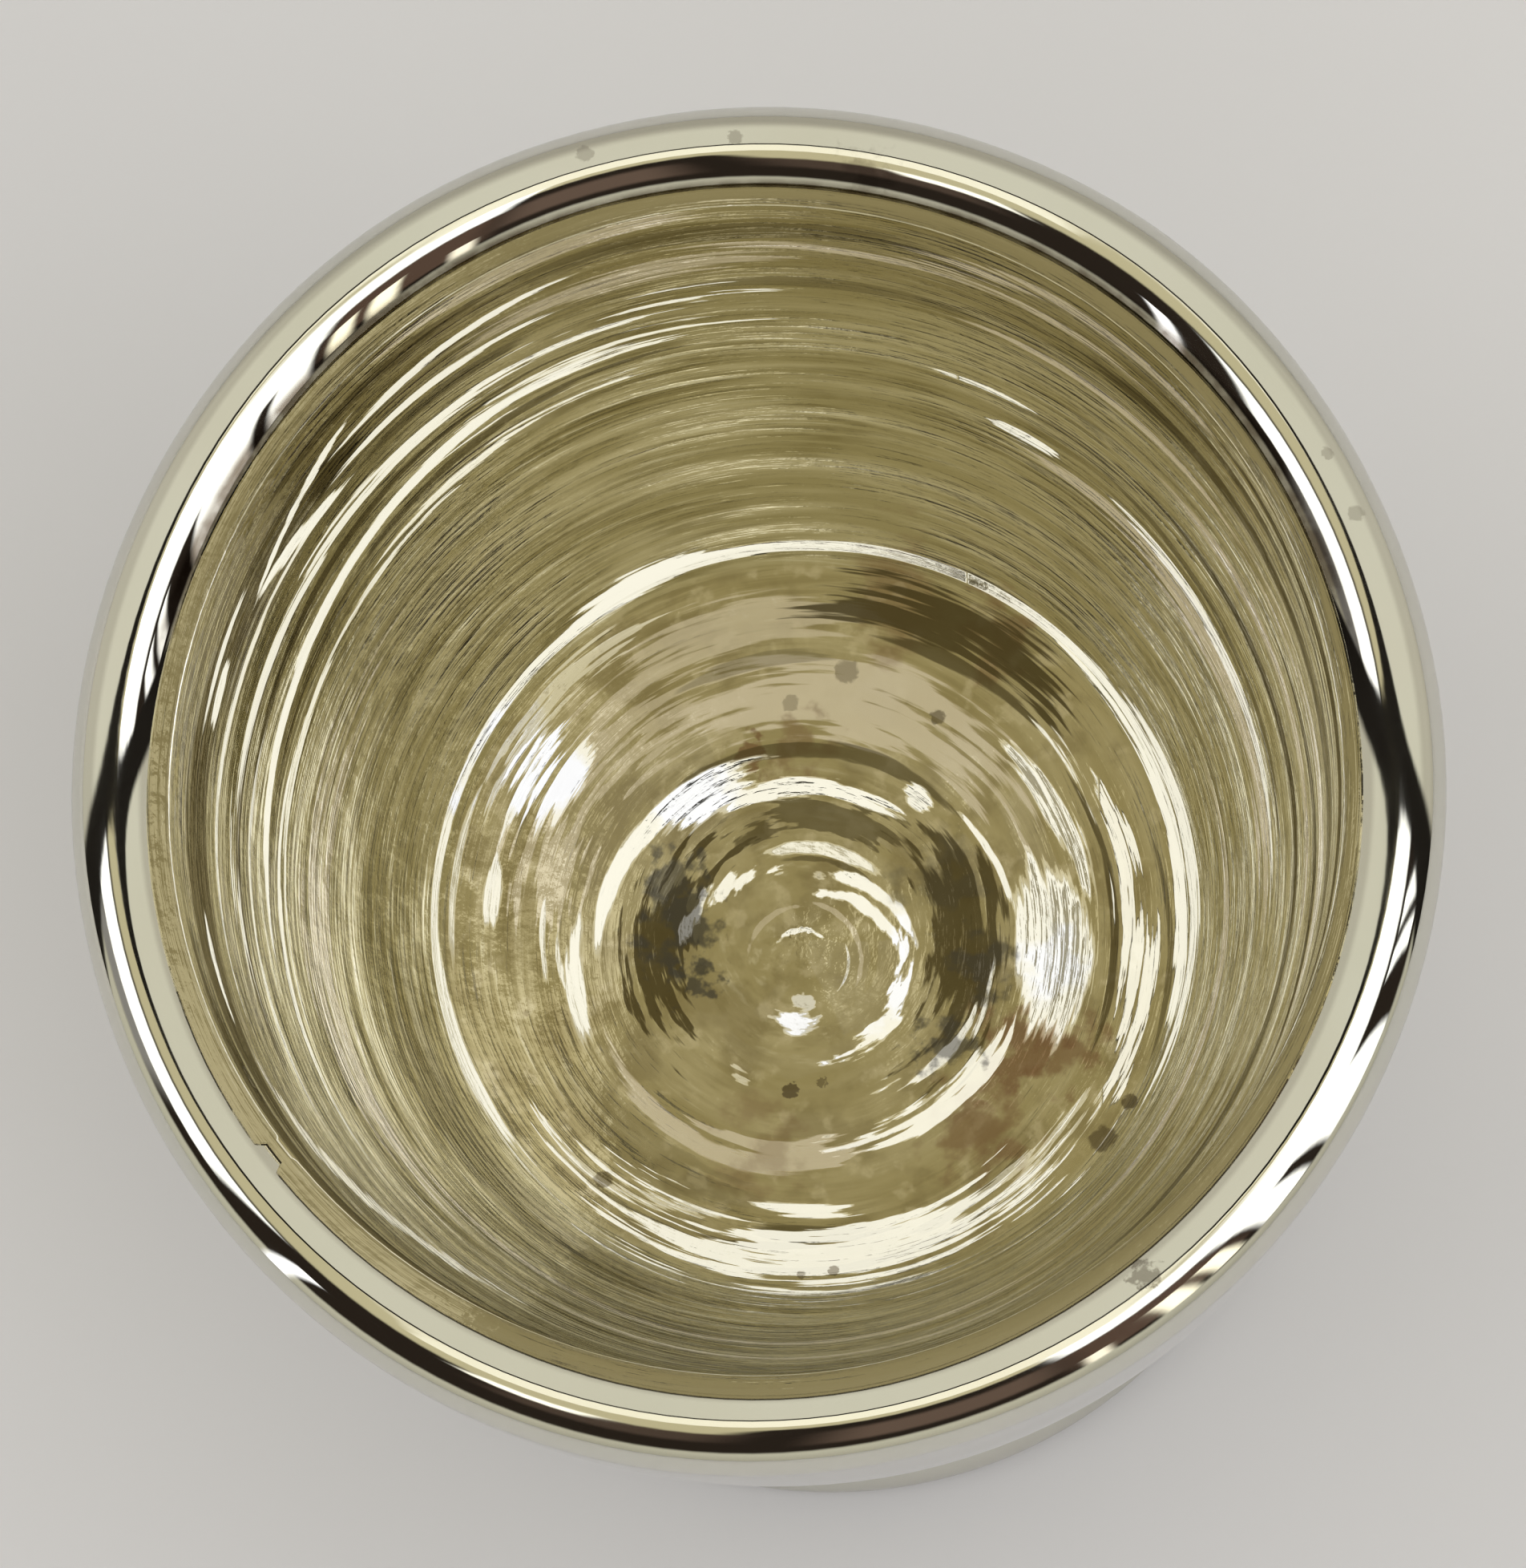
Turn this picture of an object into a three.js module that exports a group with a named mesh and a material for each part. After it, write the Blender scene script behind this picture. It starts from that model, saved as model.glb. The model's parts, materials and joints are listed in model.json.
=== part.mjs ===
// Egg cup of blown glass with a double wall, silvered between the walls and stained gold in the bowl.
// Millimetres, +Z up. The origin is the centre of the foot, on the table.
// Every piece is a turned form: its section is drawn in radius and height, then revolved.

import * as THREE from 'three';

// Rim: the two walls meet in one round fold
const MOUTH_DIAMETER = 56;
const RIM_THICKNESS = 4.0;
const GLASS_WALL = 0.7;

// Inside of the bowl, from the rim down to the nipple left by the blowing iron
const LEDGE_DIAMETER = 35.0;
const LEDGE_DEPTH = 39.2;
const BOTTOM_FALL = 4.2;
const WELL_DIAMETER = 20.0;
const WELL_FALL = 0.8;
const WELL_FLOOR_DIAMETER = 12.4;
const NIPPLE_HEIGHT = 0.9;

// Tool ripples that run round the inner wall
const RIPPLE_COUNT = 7;
const RIPPLE_HEIGHT = 0.12;

// Outside of the bowl, with the space between the walls opening out below
const LEDGE_WALL_SPACE = 4.8;
const KEEL_DIAMETER = 24;
const KEEL_RISE = 7.0;
const BOWL_BASE_RISE = 14.3;

// Stem and domed foot
const NECK_DIAMETER = 14.4;
const NECK_HEIGHT = 20.5;
const CROWN_DIAMETER = 24;
const CROWN_HEIGHT = 12.5;
const FOOT_DIAMETER = 48.8;
const FOOT_EDGE_THICKNESS = 4.2;
const FOOT_RING_WIDTH = 2.4;
const BASE_RISE = 3.2;
const BASE_FLAT_DIAMETER = 25;

// Filling hole in the base, its cork and the plaster over it
const HOLE_DIAMETER = 9.0;
const CORK_LENGTH = 6.0;
const CORK_TAPER = 0.4;
const CORK_CHAMFER = 0.5;
const SEAL_DIAMETER = 14;
const SEAL_THICKNESS = 0.9;
const SEAL_EDGE = 0.3;

// Thin layers, drawn thick enough to be solids
const LAYER_GAP = 0.3;
const SILVER_THICKNESS = 0.15;
const STAIN_THICKNESS = 0.15;

// Headings of the section, in degrees from the outward radius, anticlockwise
const WELL_WALL = 20;
const BOTTOM_START = 13;
const BOTTOM_END = 45;
const WALL_START = 71;
const WALL_END = 88;
const OUTER_START = -91;
const SHOULDER = -114;
const KEEL = -148;
const DOWN = -90;
const CROWN = -14;
const FOOT_EDGE_START = 38;
const UNDERSIDE_RISE = 125;
const INWARD = 180;

// Fineness: steps round the axis, and the share of its length that each handle of a curve takes
const ROUND_STEPS = 32;
const HANDLE_SHARE = 0.36;

// Heights and radii that follow from the sizes above
const neckRadius = NECK_DIAMETER / 2;
const wellFloorZ = NECK_HEIGHT + BOWL_BASE_RISE;
const wellEdgeZ = wellFloorZ + WELL_FALL;
const ledgeZ = wellEdgeZ + BOTTOM_FALL;
const rimZ = ledgeZ + LEDGE_DEPTH;
const foldRadius = RIM_THICKNESS / 2;
const foldCentre = new THREE.Vector2(MOUTH_DIAMETER / 2 - foldRadius, rimZ - foldRadius);
const footEdgeRadius = FOOT_EDGE_THICKNESS / 2;
const footEdgeCentre = new THREE.Vector2(FOOT_DIAMETER / 2 - footEdgeRadius, footEdgeRadius);
const ringInnerRadius = footEdgeCentre.x - FOOT_RING_WIDTH;
const holeRadius = HOLE_DIAMETER / 2;

function point(radius, height) {
  return new THREE.Vector2(radius, height);
}

function heading(degrees) {
  const angle = THREE.MathUtils.degToRad(degrees);
  return new THREE.Vector2(Math.cos(angle), Math.sin(angle));
}

// A curve between two points that leaves and arrives at given headings
function bend(from, leaving, to, arriving, steps) {
  const reach = HANDLE_SHARE * from.distanceTo(to);
  const first = from.clone().add(heading(leaving).multiplyScalar(reach));
  const second = to.clone().sub(heading(arriving).multiplyScalar(reach));
  return new THREE.CubicBezierCurve(from, first, second, to).getPoints(steps);
}

// A round stretch about a centre, turning clockwise from one angle to another
function round(centre, radius, fromAngle, toAngle, steps) {
  const points = [];
  for (let step = 0; step <= steps; step += 1) {
    const angle = THREE.MathUtils.lerp(fromAngle, toAngle, step / steps);
    points.push(centre.clone().add(heading(angle).multiplyScalar(radius)));
  }
  return points;
}

// Stretches end to end, each shared point kept once
function chain(...stretches) {
  return stretches.reduce((whole, stretch) => whole.concat(stretch.slice(1)), [stretches[0][0]]);
}

// Unit normals to the right of the direction of travel, lengthened at corners so that walls stay even
function rightNormals(points) {
  const sides = points.slice(1).map((end, index) => {
    const along = end.clone().sub(points[index]).normalize();
    return point(along.y, -along.x);
  });
  return points.map((place, index) => {
    if (place.x === 0) {
      return point(0, -1);
    }
    const before = sides[Math.max(index - 1, 0)];
    const after = sides[Math.min(index, sides.length - 1)];
    return before.clone().add(after).divideScalar(1 + before.dot(after));
  });
}

function offset(points, distance) {
  const normals = rightNormals(points);
  return points.map((place, index) => place.clone().addScaledVector(normals[index], distance));
}

// Shallow ripples along a wall that fade out at both ends
function ripple(points) {
  const normals = rightNormals(points);
  const last = points.length - 1;
  return points.map((place, index) => {
    const share = index / last;
    const wave = Math.cos(2 * Math.PI * RIPPLE_COUNT * share) * Math.sin(Math.PI * share);
    return place.clone().addScaledVector(normals[index], 0.5 * RIPPLE_HEIGHT * wave);
  });
}

// Inside of the bowl, from the top of the nipple to the point where the fold begins
function bowlStretches(fine) {
  const nippleTop = point(0, wellFloorZ + NIPPLE_HEIGHT);
  const wellFloor = point(WELL_FLOOR_DIAMETER / 2, wellFloorZ);
  const wellEdge = point(WELL_DIAMETER / 2, wellEdgeZ);
  const ledge = point(LEDGE_DIAMETER / 2, ledgeZ);
  const lip = point(foldCentre.x - foldRadius, foldCentre.y);
  const wallSteps = fine ? 2 * RIPPLE_COUNT : 5;
  const wall = bend(ledge, WALL_START, lip, WALL_END, wallSteps);
  return [
    bend(nippleTop, 0, wellFloor, 0, fine ? 4 : 2),
    bend(wellFloor, 0, wellEdge, WELL_WALL, fine ? 3 : 2),
    bend(wellEdge, BOTTOM_START, ledge, BOTTOM_END, fine ? 3 : 2),
    fine ? ripple(wall) : wall,
  ];
}

// The fold over the rim, from the bowl to the outer wall
function foldStretch(fine, toAngle) {
  const steps = (fine ? 8 : 6) * (INWARD - toAngle) / INWARD;
  return round(foldCentre, foldRadius, INWARD, toAngle, steps);
}

// Outer wall, stem, foot and underside, from the rim to the edge of the filling hole
function outerStretches(fine) {
  const lip = point(foldCentre.x + foldRadius, foldCentre.y);
  const shoulder = point(LEDGE_DIAMETER / 2 + LEDGE_WALL_SPACE, ledgeZ);
  const keel = point(KEEL_DIAMETER / 2, NECK_HEIGHT + KEEL_RISE);
  const neck = point(neckRadius, NECK_HEIGHT);
  const crown = point(CROWN_DIAMETER / 2, CROWN_HEIGHT);
  const edge = round(footEdgeCentre, footEdgeRadius, FOOT_EDGE_START, DOWN, fine ? 5 : 3);
  const ringInner = point(ringInnerRadius, 0);
  const flatEdge = point(BASE_FLAT_DIAMETER / 2, BASE_RISE);
  return [
    bend(lip, OUTER_START, shoulder, SHOULDER, fine ? 6 : 4),
    bend(shoulder, SHOULDER, keel, KEEL, fine ? 4 : 2),
    bend(keel, KEEL, neck, DOWN, fine ? 4 : 2),
    bend(neck, DOWN, crown, CROWN, fine ? 4 : 2),
    bend(crown, CROWN, edge[0], FOOT_EDGE_START + DOWN, fine ? 4 : 2),
    edge,
    [edge.at(-1), ringInner],
    bend(ringInner, UNDERSIDE_RISE, flatEdge, INWARD, fine ? 4 : 2),
    [flatEdge, point(holeRadius, BASE_RISE)],
  ];
}

// The whole glass surface on one side of the wall, from the axis to the hole
function glassSurface(fine) {
  return chain(...bowlStretches(fine), foldStretch(fine, 0), ...outerStretches(fine));
}

function finish(color, roughness, metalness, opacity = 1) {
  const transparent = opacity < 1;
  return new THREE.MeshStandardMaterial({ color, roughness, metalness, opacity, transparent });
}

const clearGlass = finish(0xdfe3e0, 0.03, 0.0, 0.35);
const oldSilver = finish(0xc9c4b8, 0.08, 1.0);
const goldStain = finish(0xa8924e, 0.12, 0.9);
const cork = finish(0x9a7350, 0.9, 0.0);
const plaster = finish(0xd9d2c2, 0.85, 0.0);

// A section revolved round the upright axis
function turned(name, section, material) {
  const geometry = new THREE.LatheGeometry(section.toReversed(), ROUND_STEPS);
  geometry.rotateX(Math.PI / 2);
  const mesh = new THREE.Mesh(geometry, material);
  mesh.name = name;
  return mesh;
}

// One blown wall folded back into itself, open at the filling hole
function glassBody() {
  const outside = glassSurface(true);
  const cavity = offset(glassSurface(false), GLASS_WALL);
  return turned('glass_body', [...outside, ...cavity.toReversed()], clearGlass);
}

// Silver film that coats the cavity from the bowl's bottom round the rim to the filling hole
function silverLining() {
  const surface = glassSurface(false);
  const glassSide = offset(surface, GLASS_WALL + LAYER_GAP);
  const openSide = offset(surface, GLASS_WALL + LAYER_GAP + SILVER_THICKNESS);
  return turned('silver_lining', [...glassSide, ...openSide.toReversed()], oldSilver);
}

// Gold stain on the bowl's inner face, up to the shoulder of the fold
function stainLayer() {
  const stainTop = 135;
  const surface = chain(...bowlStretches(true), foldStretch(true, stainTop));
  const glassSide = offset(surface, -LAYER_GAP);
  const openSide = offset(surface, -LAYER_GAP - STAIN_THICKNESS);
  return turned('gold_stain', [...openSide, ...glassSide.toReversed()], goldStain);
}

// Tapered cork, flush with the underside and standing up into the cavity
function corkPlug() {
  const radius = holeRadius - LAYER_GAP;
  const topRadius = radius - CORK_TAPER;
  const top = BASE_RISE + CORK_LENGTH;
  const section = [
    point(0, top),
    point(topRadius - CORK_CHAMFER, top),
    point(topRadius, top - CORK_CHAMFER),
    point(radius, BASE_RISE),
    point(0, BASE_RISE),
  ];
  return turned('cork_plug', section, cork);
}

// Disc of plaster that covers the cork and the edge of the hole, in the hollow of the base
function plasterSeal() {
  const top = BASE_RISE - LAYER_GAP;
  const bottom = top - SEAL_THICKNESS;
  const radius = SEAL_DIAMETER / 2;
  const section = [
    point(0, top),
    point(radius, top),
    point(radius, bottom + SEAL_EDGE),
    point(radius - SEAL_EDGE, bottom),
    point(0, bottom),
  ];
  return turned('plaster_seal', section, plaster);
}

const eggCup = new THREE.Group();
eggCup.add(glassBody(), silverLining(), stainLayer(), corkPlug(), plasterSeal());

export default eggCup;
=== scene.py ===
"""The looks of a silvered glass egg cup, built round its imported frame.

The cup is one blown wall folded back into itself at the rim. Silver lies between the walls, and the bowl
is stained gold. Sections are drawn in millimetres of radius and height, and turned about the upright axis.
"""
import json
import logging
import math
from collections.abc import Callable
from dataclasses import dataclass
from enum import Enum

import bpy
from mathutils import Matrix, Vector

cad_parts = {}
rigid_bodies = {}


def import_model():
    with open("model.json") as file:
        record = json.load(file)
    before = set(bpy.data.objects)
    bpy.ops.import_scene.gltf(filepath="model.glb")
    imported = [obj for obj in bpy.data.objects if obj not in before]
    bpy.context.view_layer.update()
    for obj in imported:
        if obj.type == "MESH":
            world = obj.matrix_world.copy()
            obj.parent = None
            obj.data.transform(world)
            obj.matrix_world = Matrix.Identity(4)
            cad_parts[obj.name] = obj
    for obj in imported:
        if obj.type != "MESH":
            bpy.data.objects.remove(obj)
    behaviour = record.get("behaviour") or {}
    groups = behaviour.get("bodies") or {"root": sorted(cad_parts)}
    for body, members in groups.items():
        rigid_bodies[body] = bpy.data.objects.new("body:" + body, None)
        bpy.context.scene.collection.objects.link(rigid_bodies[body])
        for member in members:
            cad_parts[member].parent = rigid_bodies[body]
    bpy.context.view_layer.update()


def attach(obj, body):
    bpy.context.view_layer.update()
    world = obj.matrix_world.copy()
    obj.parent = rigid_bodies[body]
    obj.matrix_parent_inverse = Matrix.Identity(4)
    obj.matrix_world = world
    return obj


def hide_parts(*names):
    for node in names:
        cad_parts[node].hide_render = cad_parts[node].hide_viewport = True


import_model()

log = logging.getLogger("egg_cup")

MM = 0.001
TURN = math.tau
DEGREES = 180 / math.pi
DOWN = -90.0
INWARD = 180.0
PHOTO_HEIGHT = 1956
MERGE_DISTANCE = 2e-6

Point = tuple[float, float]
Span = tuple[float, float]
Triple = tuple[float, float, float]
Colour = Triple
Ramp = tuple[float, float, float, float]
Socket = bpy.types.NodeSocket
Piece = bpy.types.Object


def linear(red: int, green: int, blue: int) -> Colour:
    """Turns a colour as a screen shows it into the linear values that shaders take.

    Args:
        red: Red from 0 to 255.
        green: Green from 0 to 255.
        blue: Blue from 0 to 255.

    Returns:
        The three linear values.
    """
    toe, slope, offset, power = 0.04045, 12.92, 0.055, 2.4
    shares = [value / 255 for value in (red, green, blue)]
    return tuple(s / slope if s <= toe else ((s + offset) / (1 + offset)) ** power for s in shares)


class Slot(Enum):
    """Material slots of the record."""

    GLASS = "clear_glass"
    SILVER = "old_silver"
    GOLD = "gold_stain"
    CORK = "cork"
    PLASTER = "plaster"


class Zone(Enum):
    """Parts of the blown surface that are uneven in their own way."""

    ALL = "all"
    WALL = "wall"
    BOTTOM = "bottom"


def clamped(value: float) -> float:
    """Keeps a value between 0 and 1."""
    return min(max(value, 0.0), 1.0)


class Wiring:
    """Adds nodes to one node tree and joins them."""

    def __init__(self, tree: bpy.types.NodeTree) -> None:
        """Keeps the tree that the nodes go into."""
        self.tree = tree

    def node(self, kind: str, **settings: object) -> bpy.types.Node:
        """Adds a node.

        Args:
            kind: The node's type name.
            settings: Properties to set on the node.

        Returns:
            The new node.
        """
        made = self.tree.nodes.new(kind)
        for name, value in settings.items():
            setattr(made, name, value)
        return made

    def feed(self, target: Socket, source: object) -> None:
        """Joins a socket to a source, or sets it to a plain value.

        Args:
            target: The input socket.
            source: A socket, or a value of the target's kind.
        """
        if isinstance(source, Socket):
            self.tree.links.new(source, target)
        elif isinstance(source, tuple) and len(source) == 3 and target.type == "RGBA":
            target.default_value = (*source, 1.0)
        else:
            target.default_value = source

    def math(self, operation: str, first: object, second: object = 0.0) -> Socket:
        """Adds a Math node.

        Args:
            operation: The operation's name.
            first: A socket or number.
            second: A socket or number.

        Returns:
            The result's socket.
        """
        made = self.node("ShaderNodeMath", operation=operation)
        self.feed(made.inputs[0], first)
        self.feed(made.inputs[1], second)
        return made.outputs[0]

    def plus(self, first: object, second: object) -> Socket:
        """Adds two sockets or numbers."""
        return self.math("ADD", first, second)

    def minus(self, first: object, second: object) -> Socket:
        """Takes the second from the first."""
        return self.math("SUBTRACT", first, second)

    def times(self, first: object, second: object) -> Socket:
        """Multiplies two sockets or numbers."""
        return self.math("MULTIPLY", first, second)

    def over(self, first: object, second: object) -> Socket:
        """Divides the first by the second."""
        return self.math("DIVIDE", first, second)

    def times_plus(self, first: object, second: object, third: object) -> Socket:
        """Multiplies the first two, and adds the third.

        Args:
            first: A socket or number.
            second: A socket or number.
            third: A socket or number.

        Returns:
            The result's socket.
        """
        made = self.math("MULTIPLY_ADD", first, second)
        self.feed(made.node.inputs[2], third)
        return made

    def ramp(self, value: object, low: object, high: object, start: float = 0.0, end: float = 1.0) -> Socket:
        """Adds a smooth step between two values.

        Args:
            value: The socket that is read.
            low: Where the step begins.
            high: Where the step ends.
            start: The result at and before low.
            end: The result at and after high.

        Returns:
            The result's socket.
        """
        made = self.node("ShaderNodeMapRange", interpolation_type="SMOOTHSTEP")
        for index, source in enumerate((value, low, high, start, end)):
            self.feed(made.inputs[index], source)
        return made.outputs[0]

    def mix(self, share: object, first: object, second: object) -> Socket:
        """Adds a colour mix.

        Args:
            share: How much of the second colour, from 0 to 1.
            first: A socket or colour.
            second: A socket or colour.

        Returns:
            The result's socket.
        """
        made = self.node("ShaderNodeMix", data_type="RGBA")
        self.feed(made.inputs[0], share)
        self.feed(made.inputs[6], first)
        self.feed(made.inputs[7], second)
        return made.outputs[2]

    def noise(self, vector: object, scale: object, detail: float = 3.0) -> Socket:
        """Adds a noise texture.

        Args:
            vector: The socket with the coordinates.
            scale: Waves in a unit of the coordinates.
            detail: Octaves of the noise.

        Returns:
            The socket with values about one half.
        """
        made = self.node("ShaderNodeTexNoise")
        self.feed(made.inputs["Vector"], vector)
        self.feed(made.inputs["Scale"], scale)
        made.inputs["Detail"].default_value = detail
        return made.outputs["Fac"]

    def blend(self, share: object, first: object, second: object) -> Socket:
        """Adds a mix of two directions.

        Args:
            share: How much of the second direction, from 0 to 1.
            first: A socket or direction.
            second: A socket or direction.

        Returns:
            The result's socket.
        """
        made = self.node("ShaderNodeMix", data_type="VECTOR")
        self.feed(made.inputs[0], share)
        self.feed(made.inputs[4], first)
        self.feed(made.inputs[5], second)
        return made.outputs[1]

    def vector(self, operation: str, first: object, second: object = (0.0, 0.0, 0.0)) -> bpy.types.Node:
        """Adds a Vector Math node and gives it back, because its results lie on different sockets.

        Args:
            operation: The operation's name.
            first: A socket or direction.
            second: A socket or direction, or the factor of a scaling.

        Returns:
            The node.
        """
        made = self.node("ShaderNodeVectorMath", operation=operation)
        self.feed(made.inputs[0], first)
        self.feed(made.inputs[3 if operation == "SCALE" else 1], second)
        return made

    def length(self, first: Socket, second: Socket) -> Socket:
        """Gives the length of two parts at right angles."""
        return self.math("SQRT", self.plus(self.times(first, first), self.times(second, second)))

    def millimetres(self) -> Socket:
        """Gives the Object coordinates in millimetres."""
        place = self.node("ShaderNodeTexCoord").outputs["Object"]
        return self.vector("SCALE", place, 1 / MM).outputs[0]

    def place(self) -> list[Socket]:
        """Gives the Object coordinates one by one, in millimetres."""
        return self.split(self.millimetres())

    def split(self, vector: Socket) -> list[Socket]:
        """Gives the three parts of a vector.

        Args:
            vector: The vector's socket.

        Returns:
            The sockets of its parts.
        """
        parts = self.node("ShaderNodeSeparateXYZ")
        self.feed(parts.inputs[0], vector)
        return list(parts.outputs)

    def use(self, effect: "Effect", **values: object) -> Socket:
        """Adds a shared effect.

        Args:
            effect: The effect's node group.
            values: What goes into its named sockets.

        Returns:
            The socket of its result.
        """
        made = self.node("ShaderNodeGroup", node_tree=effect.tree)
        for name, source in values.items():
            self.feed(made.inputs[name], source)
        return made.outputs[0]


@dataclass(frozen=True)
class CupForm:
    """Sizes of the cup in millimetres, and the section that follows from them.

    They are the solids' own, but for finer ripples and a soft swell. Headings are in degrees from the
    outward radius, anticlockwise.
    """

    mouth_diameter: float = 56.0
    rim_thickness: float = 4.0
    ledge_diameter: float = 35.0
    ledge_depth: float = 39.2
    bottom_fall: float = 4.2
    well_diameter: float = 20.0
    well_fall: float = 0.8
    well_floor_diameter: float = 12.4
    nipple_height: float = 0.9
    ripple_count: int = 17
    ripple_height: float = 0.03
    swell_z: float = 67.0
    swell_reach: float = 3.2
    swell_height: float = 0.2
    ledge_wall_space: float = 4.8
    keel_diameter: float = 24.0
    keel_rise: float = 7.0
    bowl_base_rise: float = 14.3
    neck_diameter: float = 14.4
    neck_height: float = 20.5
    crown_diameter: float = 24.0
    crown_height: float = 12.5
    foot_diameter: float = 48.8
    foot_edge_thickness: float = 4.2
    foot_ring_width: float = 2.4
    base_rise: float = 3.2
    base_flat_diameter: float = 25.0
    hole_diameter: float = 9.0

    handle_share: float = 0.36
    well_wall: float = 20.0
    bottom_start: float = 13.0
    bottom_end: float = 45.0
    wall_start: float = 71.0
    wall_end: float = 88.0
    outer_start: float = -91.0
    shoulder: float = -114.0
    keel: float = -148.0
    crown: float = -14.0
    foot_edge_start: float = 38.0
    underside_rise: float = 125.0

    @property
    def well_floor_z(self) -> float:
        """Height of the lowest point of the bowl."""
        return self.neck_height + self.bowl_base_rise

    @property
    def ledge_z(self) -> float:
        """Height of the crease where the inner wall meets the bowl's bottom."""
        return self.well_floor_z + self.well_fall + self.bottom_fall

    @property
    def fold_radius(self) -> float:
        """Radius of the round fold that makes the rim."""
        return self.rim_thickness / 2

    @property
    def fold_centre(self) -> Point:
        """Centre of the fold in the section."""
        rim_z = self.ledge_z + self.ledge_depth
        return (self.mouth_diameter / 2 - self.fold_radius, rim_z - self.fold_radius)

    def wall_radius(self, height: float) -> float:
        """Gives about how far the bowl's wall lies from the axis at a height.

        Args:
            height: The height in millimetres.

        Returns:
            The radius in millimetres.
        """
        share = (height - self.ledge_z) / (self.ledge_depth - self.fold_radius)
        lip = self.fold_centre[0] - self.fold_radius
        return self.ledge_diameter / 2 + (lip - self.ledge_diameter / 2) * share

    def bend(self, start: Point, leaving: float, end: Point, arriving: float, steps: int) -> list[Point]:
        """Draws a curve that leaves and arrives at given headings.

        Args:
            start: First point.
            leaving: Heading at the first point, in degrees.
            end: Last point.
            arriving: Heading at the last point, in degrees.
            steps: Number of straight steps.

        Returns:
            The points of the curve.
        """
        reach = self.handle_share * math.dist(start, end)
        a, b = math.radians(leaving), math.radians(arriving)
        first = (start[0] + reach * math.cos(a), start[1] + reach * math.sin(a))
        second = (end[0] - reach * math.cos(b), end[1] - reach * math.sin(b))
        points = []
        for step in range(steps + 1):
            t = step / steps
            weights = ((1 - t) ** 3, 3 * t * (1 - t) ** 2, 3 * t * t * (1 - t), t ** 3)
            corners = (start, first, second, end)
            points.append(tuple(sum(w * c[i] for w, c in zip(weights, corners)) for i in (0, 1)))
        return points

    @staticmethod
    def arc(centre: Point, radius: float, start: float, end: float, steps: int) -> list[Point]:
        """Draws a round stretch between two angles in degrees."""
        angles = [math.radians(start + (end - start) * step / steps) for step in range(steps + 1)]
        return [(centre[0] + radius * math.cos(a), centre[1] + radius * math.sin(a)) for a in angles]

    def bowl(self) -> list[Point]:
        """Draws the inside of the bowl, from the top of the nipple to the start of the fold.

        Returns:
            The points of the section.
        """
        well_edge = (self.well_diameter / 2, self.well_floor_z + self.well_fall)
        well_floor = (self.well_floor_diameter / 2, self.well_floor_z)
        ledge = (self.ledge_diameter / 2, self.ledge_z)
        lip = (self.fold_centre[0] - self.fold_radius, self.fold_centre[1])
        return join(
            self.bend((0.0, self.well_floor_z + self.nipple_height), 0, well_floor, 0, 10),
            self.bend(well_floor, 0, well_edge, self.well_wall, 8),
            self.bend(well_edge, self.bottom_start, ledge, self.bottom_end, 12),
            self.ripple(self.bend(ledge, self.wall_start, lip, self.wall_end, 62)),
        )

    def ripple(self, points: list[Point]) -> list[Point]:
        """Lays shallow tool ripples and one soft swell along a wall, which fade out at both ends.

        Args:
            points: The wall's points.

        Returns:
            The rippled points.
        """
        last = len(points) - 1
        rippled = []
        for index, (radius, height) in enumerate(points):
            share = index / last
            wave = math.cos(TURN * self.ripple_count * share) * math.sin(math.pi * share)
            swell = math.exp(-((height - self.swell_z) / self.swell_reach) ** 2)
            rippled.append((radius + self.ripple_height / 2 * wave + self.swell_height * swell, height))
        return rippled

    def fold(self) -> list[Point]:
        """Draws the round fold over the rim."""
        return self.arc(self.fold_centre, self.fold_radius, INWARD, 0, 16)

    def outside(self) -> list[Point]:
        """Draws the outer wall, stem, foot and underside, from the rim to the filling hole.

        Returns:
            The points of the section.
        """
        lip = (self.fold_centre[0] + self.fold_radius, self.fold_centre[1])
        shoulder = (self.ledge_diameter / 2 + self.ledge_wall_space, self.ledge_z)
        keel = (self.keel_diameter / 2, self.neck_height + self.keel_rise)
        neck = (self.neck_diameter / 2, self.neck_height)
        crown = (self.crown_diameter / 2, self.crown_height)
        edge_radius = self.foot_edge_thickness / 2
        edge_centre = (self.foot_diameter / 2 - edge_radius, edge_radius)
        edge = self.arc(edge_centre, edge_radius, self.foot_edge_start, DOWN, 8)
        ring_inner = (edge_centre[0] - self.foot_ring_width, 0.0)
        flat_edge = (self.base_flat_diameter / 2, self.base_rise)
        return join(
            self.bend(lip, self.outer_start, shoulder, self.shoulder, 12),
            self.bend(shoulder, self.shoulder, keel, self.keel, 8),
            self.bend(keel, self.keel, neck, DOWN, 8),
            self.bend(neck, DOWN, crown, self.crown, 9),
            self.bend(crown, self.crown, edge[0], self.foot_edge_start + DOWN, 8),
            edge,
            [edge[-1], ring_inner],
            self.bend(ring_inner, self.underside_rise, flat_edge, INWARD, 5),
            [flat_edge, (self.hole_diameter / 2, self.base_rise)],
        )

    def surface(self) -> list[Point]:
        """Draws the whole glass surface on one side of the wall, from the axis to the hole."""
        return join(self.bowl(), self.fold(), self.outside())


def join(*stretches: list[Point]) -> list[Point]:
    """Puts stretches end to end and keeps each shared point once.

    Args:
        stretches: The stretches, in order.

    Returns:
        The points of the whole.
    """
    whole = [stretches[0][0]]
    for stretch in stretches:
        whole.extend(stretch[1:])
    return whole


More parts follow.
